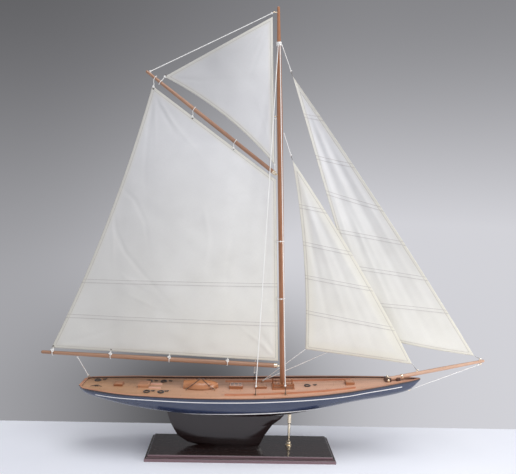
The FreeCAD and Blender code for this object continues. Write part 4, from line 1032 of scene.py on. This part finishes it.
def finishes():
    brass = metal("polished_brass", (0.95, 0.84, 0.66), (0.78, 0.62, 0.42), 0.14)
    paint(brass, "support_post", "bowsprit_band", "stem_eye", "mast_eyes", "boom_fork", "gaff_fork",
          "bowsprit_eyes")
    paint(metal("aged_brass", (0.60, 0.47, 0.33), (0.25, 0.17, 0.10), 0.3), "deck_eyes")
    steel = metal("dull_wire", (0.42, 0.41, 0.40), (0.20, 0.19, 0.18), 0.32)
    paint(steel, "stand_screws", "jib_hooks", "staysail_hooks")
    dark_metal = metal("dark_fittings", (0.13, 0.12, 0.115), (0.05, 0.045, 0.045), 0.42)
    paint(dark_metal, "cleats", "shroud_hooks")
    paint(lacquered_base(), "base_board")
    paint(bottom_paint(), "hull_bottom", "keel_fin")
    paint(topside_paint(), "hull_topsides")
    paint(deck_planks(), "deck_panel")
    paint(rail_paint(), "cap_rail_port", "cap_rail_starboard", "taffrail")
    hatches = ("aft_hatch", "mid_hatch", "fore_hatch", "skylight", "fife_rail")
    for name, light, dark, gloss, coat, nodes in (
        ("raw_pine", (0.62, 0.45, 0.28), (0.48, 0.31, 0.17), 0.4, 0.0, ("hull_bulkheads", "mast_step")),
        ("orange_varnish", (0.62, 0.27, 0.15), (0.44, 0.15, 0.075), 0.33, 0.4,
         ("deck_strip_port", "deck_strip_starboard")),
        ("hatch_varnish", (0.44, 0.18, 0.08), (0.26, 0.09, 0.035), 0.33, 0.4, hatches),
        ("companion_varnish", (0.62, 0.33, 0.19), (0.40, 0.18, 0.09), 0.33, 0.4, ("companion_hatch",)),
        ("pale_slides", (0.82, 0.52, 0.42), (0.64, 0.36, 0.26), 0.4, 0.25, ("companion_slides",)),
        ("boat_varnish", (0.52, 0.23, 0.10), (0.36, 0.135, 0.05), 0.36, 0.4, ("dinghy",)),
        ("dark_stain", (0.11, 0.055, 0.04), (0.045, 0.022, 0.018), 0.4, 0.25,
         ("heel_block", "bowsprit_chock")),
    ):
        paint(wood(name, light, dark, gloss=gloss, coat=coat), *nodes)
    for node, light, dark in (
        ("mast", (0.41, 0.18, 0.085), (0.26, 0.10, 0.043)),
        ("boom", (0.37, 0.20, 0.12), (0.23, 0.115, 0.066)),
        ("gaff", (0.40, 0.22, 0.135), (0.26, 0.13, 0.075)),
        ("bowsprit", (0.58, 0.36, 0.25), (0.42, 0.235, 0.15)),
    ):
        _, axis, _ = spar(node)
        grain = tuple(float(part) for part in axis)
        paint(wood(node + "_wood", light, dark, grain=grain, gloss=0.38), node)


# ======== deck details ========
def belaying_pins():
    low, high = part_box("fife_rail")
    rail_top = high.z - 2.3 * MM
    profile = [(0.0, -3.2), (0.35, -3.0), (0.35, 0.0), (0.7, 0.15), (0.6, 0.9)]
    profile += [(0.75, 1.7), (0.55, 2.2), (0.0, 2.3)]
    shape = [(r * MM, z * MM) for r, z in profile]
    pins = []
    for side in (low.y + 2.9 * MM, high.y - 2.9 * MM):
        for x in np.linspace(low.x + 6 * MM, high.x - 6 * MM, 5):
            pins.append(turned_mesh(shape, np.array((x, side, rail_top)), sides=10))
    placed("belaying_pins", pins, wood("pin_wood", (0.66, 0.40, 0.24), (0.44, 0.22, 0.12)))


def skylight_panes():
    low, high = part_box("skylight")
    glass = Look("skylight_glass", roughness=0.08, coat_weight=0.5, coat_roughness=0.05)
    speck = glass.noise(glass.place, 200.0)
    glass.colour(glass.mix(glass.ramp(speck, 0.3, 0.7), rgb(0.05, 0.06, 0.07), rgb(0.12, 0.13, 0.14)))
    panes, bars = [], []
    top, inset, count = high.z, 1.6 * MM, 3
    width = (high.x - low.x - 2 * inset) / count
    for side in (-1, 1):
        y0, y1 = sorted((side * 0.5 * MM, side * (high.y - inset)))
        for k in range(count):
            x0 = low.x + inset + k * width
            panes.append(brick_mesh((x0 + 0.5 * MM, y0 + 0.3 * MM, top - 0.2 * MM),
                                    (x0 + width - 0.5 * MM, y1 - 0.3 * MM, top + 0.15 * MM), 0.05 * MM))
    for k in range(count + 1):
        x = low.x + inset + k * width
        bars.append(brick_mesh((x - 0.4 * MM, low.y + inset, top - 0.2 * MM),
                               (x + 0.4 * MM, high.y - inset, top + 0.45 * MM), 0.15 * MM))
    for y in (low.y + inset, 0.0, high.y - inset):
        bars.append(brick_mesh((low.x + inset - 0.4 * MM, y - 0.45 * MM, top - 0.2 * MM),
                               (high.x - inset + 0.4 * MM, y + 0.45 * MM, top + 0.5 * MM), 0.15 * MM))
    placed("skylight_panes", panes, glass.material, smooth=False)
    # painted highlight: the bars are painted pale, standing for the glints on the skylight's top
    bar_wood_painted_glint = wood("bar_wood_painted_glint", (0.74, 0.50, 0.40), (0.52, 0.30, 0.21))
    placed("skylight_bars", bars, bar_wood_painted_glint, smooth=False)


def hatch_lids():
    """Raised boards on the hatches and the companion's sliding lid."""
    boards = []
    for node, count in (("aft_hatch", 3), ("mid_hatch", 3), ("fore_hatch", 3), ("companion_hatch", 4)):
        low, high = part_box(node)
        inset, gap = 1.3 * MM, 0.35 * MM
        step = (high.y - low.y - 2 * inset) / count
        for k in range(count):
            y = low.y + inset + k * step
            boards.append(brick_mesh((low.x + inset, y + gap / 2, high.z - 0.3 * MM),
                                     (high.x - inset, y + step - gap / 2, high.z + 0.4 * MM), 0.12 * MM))
    board_wood = wood("board_wood", (0.54, 0.27, 0.14), (0.36, 0.15, 0.07), gloss=0.3, coat=0.4)
    placed("hatch_boards", boards, board_wood, smooth=False)


def dinghy_trim():
    """Keel strip along the top of the upturned boat and a rubbing strake round its gunwale."""
    boat = vertices("dinghy")
    ridge = boat[np.abs(boat[:, 1]) < 0.4 * MM]
    ridge = ridge[ridge[:, 2] > boat[:, 2].min() + 4 * MM]
    ridge = ridge[np.argsort(ridge[:, 0])]
    stations, first = np.unique(np.round(ridge[:, 0] / MM), return_index=True)
    crest = np.array([ridge[i] for i in first])
    crest[:, 1] = 0.0
    meshes = [rope_mesh(spline_points(crest[:-1] + UP * 0.25 * MM), 1.3 * MM, sides=8, strands=0)]
    bottom = boat[:, 2].min()
    for side in (-1, 1):
        rim = []
        for station in stations[1:-1]:
            near = boat[np.abs(boat[:, 0] - station * MM) < 1.6 * MM]
            edge = near[np.argmax(side * near[:, 1])]
            rim.append((station * MM, edge[1] + side * 0.1 * MM, bottom + 1.6 * MM))
        meshes.append(rope_mesh(spline_points(rim), 1.2 * MM, sides=8, strands=0))
    strake_wood = wood("strake_wood", (0.38, 0.17, 0.08), (0.2, 0.08, 0.04))
    placed("dinghy_strakes", meshes, strake_wood)


def brass_heads():
    """Round heads of the pin through the bowsprit's heel block and of the one through its band."""
    profile = [(0.0, -0.4), (1.0, -0.4), (1.0, -0.05), (0.85, 0.45), (0.5, 0.75), (0.0, 0.9)]
    heads = []
    for node, radius in (("heel_block", 2.1), ("bowsprit_band", 1.7)):
        band = max(islands(node), key=len)
        low, high = band.min(0), band.max(0)
        for side, y in ((-1, low[1]), (1, high[1])):
            centre = np.array(((low[0] + high[0]) / 2, y, (low[2] + high[2]) / 2))
            shape = [(r * radius * MM, z * radius * MM) for r, z in profile]
            heads.append(turned_mesh(shape, centre, axis=TO_PORT * side))
    placed("brass_heads", heads, bpy.data.materials["polished_brass"])


def stern_cord():
    """Short end of dark cord left lying over the near stern cleat."""
    cleat = min(islands("cleats"), key=lambda places: places[:, 0].min())
    low, high = cleat.min(0), cleat.max(0)
    middle = (low + high) / 2
    deck = low[2] + LASHING_CORD / 2
    bends = [(-8.0, -1.2, 0.3), (-5.0, 0.6, 0.3), (-2.0, 0.0, 1.6), (1.2, -0.8, 1.9)]
    bends += [(4.2, 0.4, 0.5), (6.6, -1.4, 0.2)]
    path = [(middle[0] + x * MM, middle[1] + y * MM, deck + z * MM) for x, y, z in bends]
    placed("stern_cord", [rope_mesh(spline_points(path), LASHING_CORD)], TARRED)


# ======== light and surroundings ========
def table():
    look = Look("table_top", roughness=0.55)
    cloud = look.noise(look.place, 5.0, 4.0)
    look.colour(look.mix(look.ramp(cloud, 0.3, 0.7), rgb(0.88, 0.90, 0.97), rgb(0.92, 0.94, 1.0)))
    corners = [(-TABLE_SIDE, TABLE_FRONT, 0), (TABLE_SIDE, TABLE_FRONT, 0), (TABLE_SIDE, TABLE_BACK, 0)]
    corners.append((-TABLE_SIDE, TABLE_BACK, 0))
    mesh_piece("table_top", corners, [(0, 1, 2, 3)], look.material)


def surroundings():
    """Pale room whose far wall is darker to the upper left."""
    world = bpy.data.worlds.new("room")
    world.use_nodes = True
    bpy.context.scene.world = world
    room = Nodes(world.node_tree)
    way = room.tree.nodes.new("ShaderNodeTexCoord").outputs["Generated"]
    x, y, z = room.separate(way)
    height = room.ramp(z, -0.30, 0.42, WALL_FOOT, WALL_TOP, smooth=True)
    to_right = room.ramp(x, -0.44, 0.26, 1.0, WALL_RIGHT, smooth=True)
    wall = room.math("MINIMUM", room.times(height, to_right), WALL_LIMIT)
    from_middle = room.math("DIVIDE", room.add(x, -SHADOW_X), SHADOW_WIDTH)
    beside = room.math("EXPONENT", room.times(from_middle, room.times(from_middle, -1.0)))
    across = room.times(room.ramp(z, -0.08, -0.33, smooth=True), room.ramp(z, -0.55, -0.38, smooth=True))
    shadow = room.times(across, room.times(beside, SHADOW_DEPTH))
    wall = room.times(wall, room.minus(1.0, shadow))
    shade = room.mix(room.ramp(y, 0.05, 0.25), rgb(0.62, 0.62, 0.64), rgb(1.0, 1.0, 1.06))
    level = room.add(room.times(wall, room.ramp(y, 0.05, 0.25)), room.ramp(y, 0.05, 0.25, 1.0, 0.0))
    tint = room.node("VectorMath", {0: shade, 3: level}, operation="SCALE")
    room.put(world.node_tree.nodes["Background"].inputs["Color"], tint)


def lamp(name, place, target, size, energy, colour):
    data = bpy.data.lights.new(name, "AREA")
    data.size = size
    data.energy = energy
    data.color = colour
    light = bpy.data.objects.new(name, data)
    aim = Vector(target) - Vector(place)
    light.matrix_world = Matrix.Translation(place) @ aim.to_track_quat("-Z", "Y").to_matrix().to_4x4()
    bpy.context.scene.collection.objects.link(light)


def lights():
    bpy.context.scene.view_settings.view_transform = "Standard"
    lamp("key", *KEY_LAMP)
    lamp("ceiling", *CEILING_LAMP)


scene_camera()
lights()
surroundings()
table()
finishes()
shrouds()
running_threads()
dinghy_cords()
rope_coils()
spar_ties()
luff_rings()
small_lashings()
mainsail()
topsail()
headsails()
belaying_pins()
skylight_panes()
hatch_lids()
dinghy_trim()
brass_heads()
stern_cord()
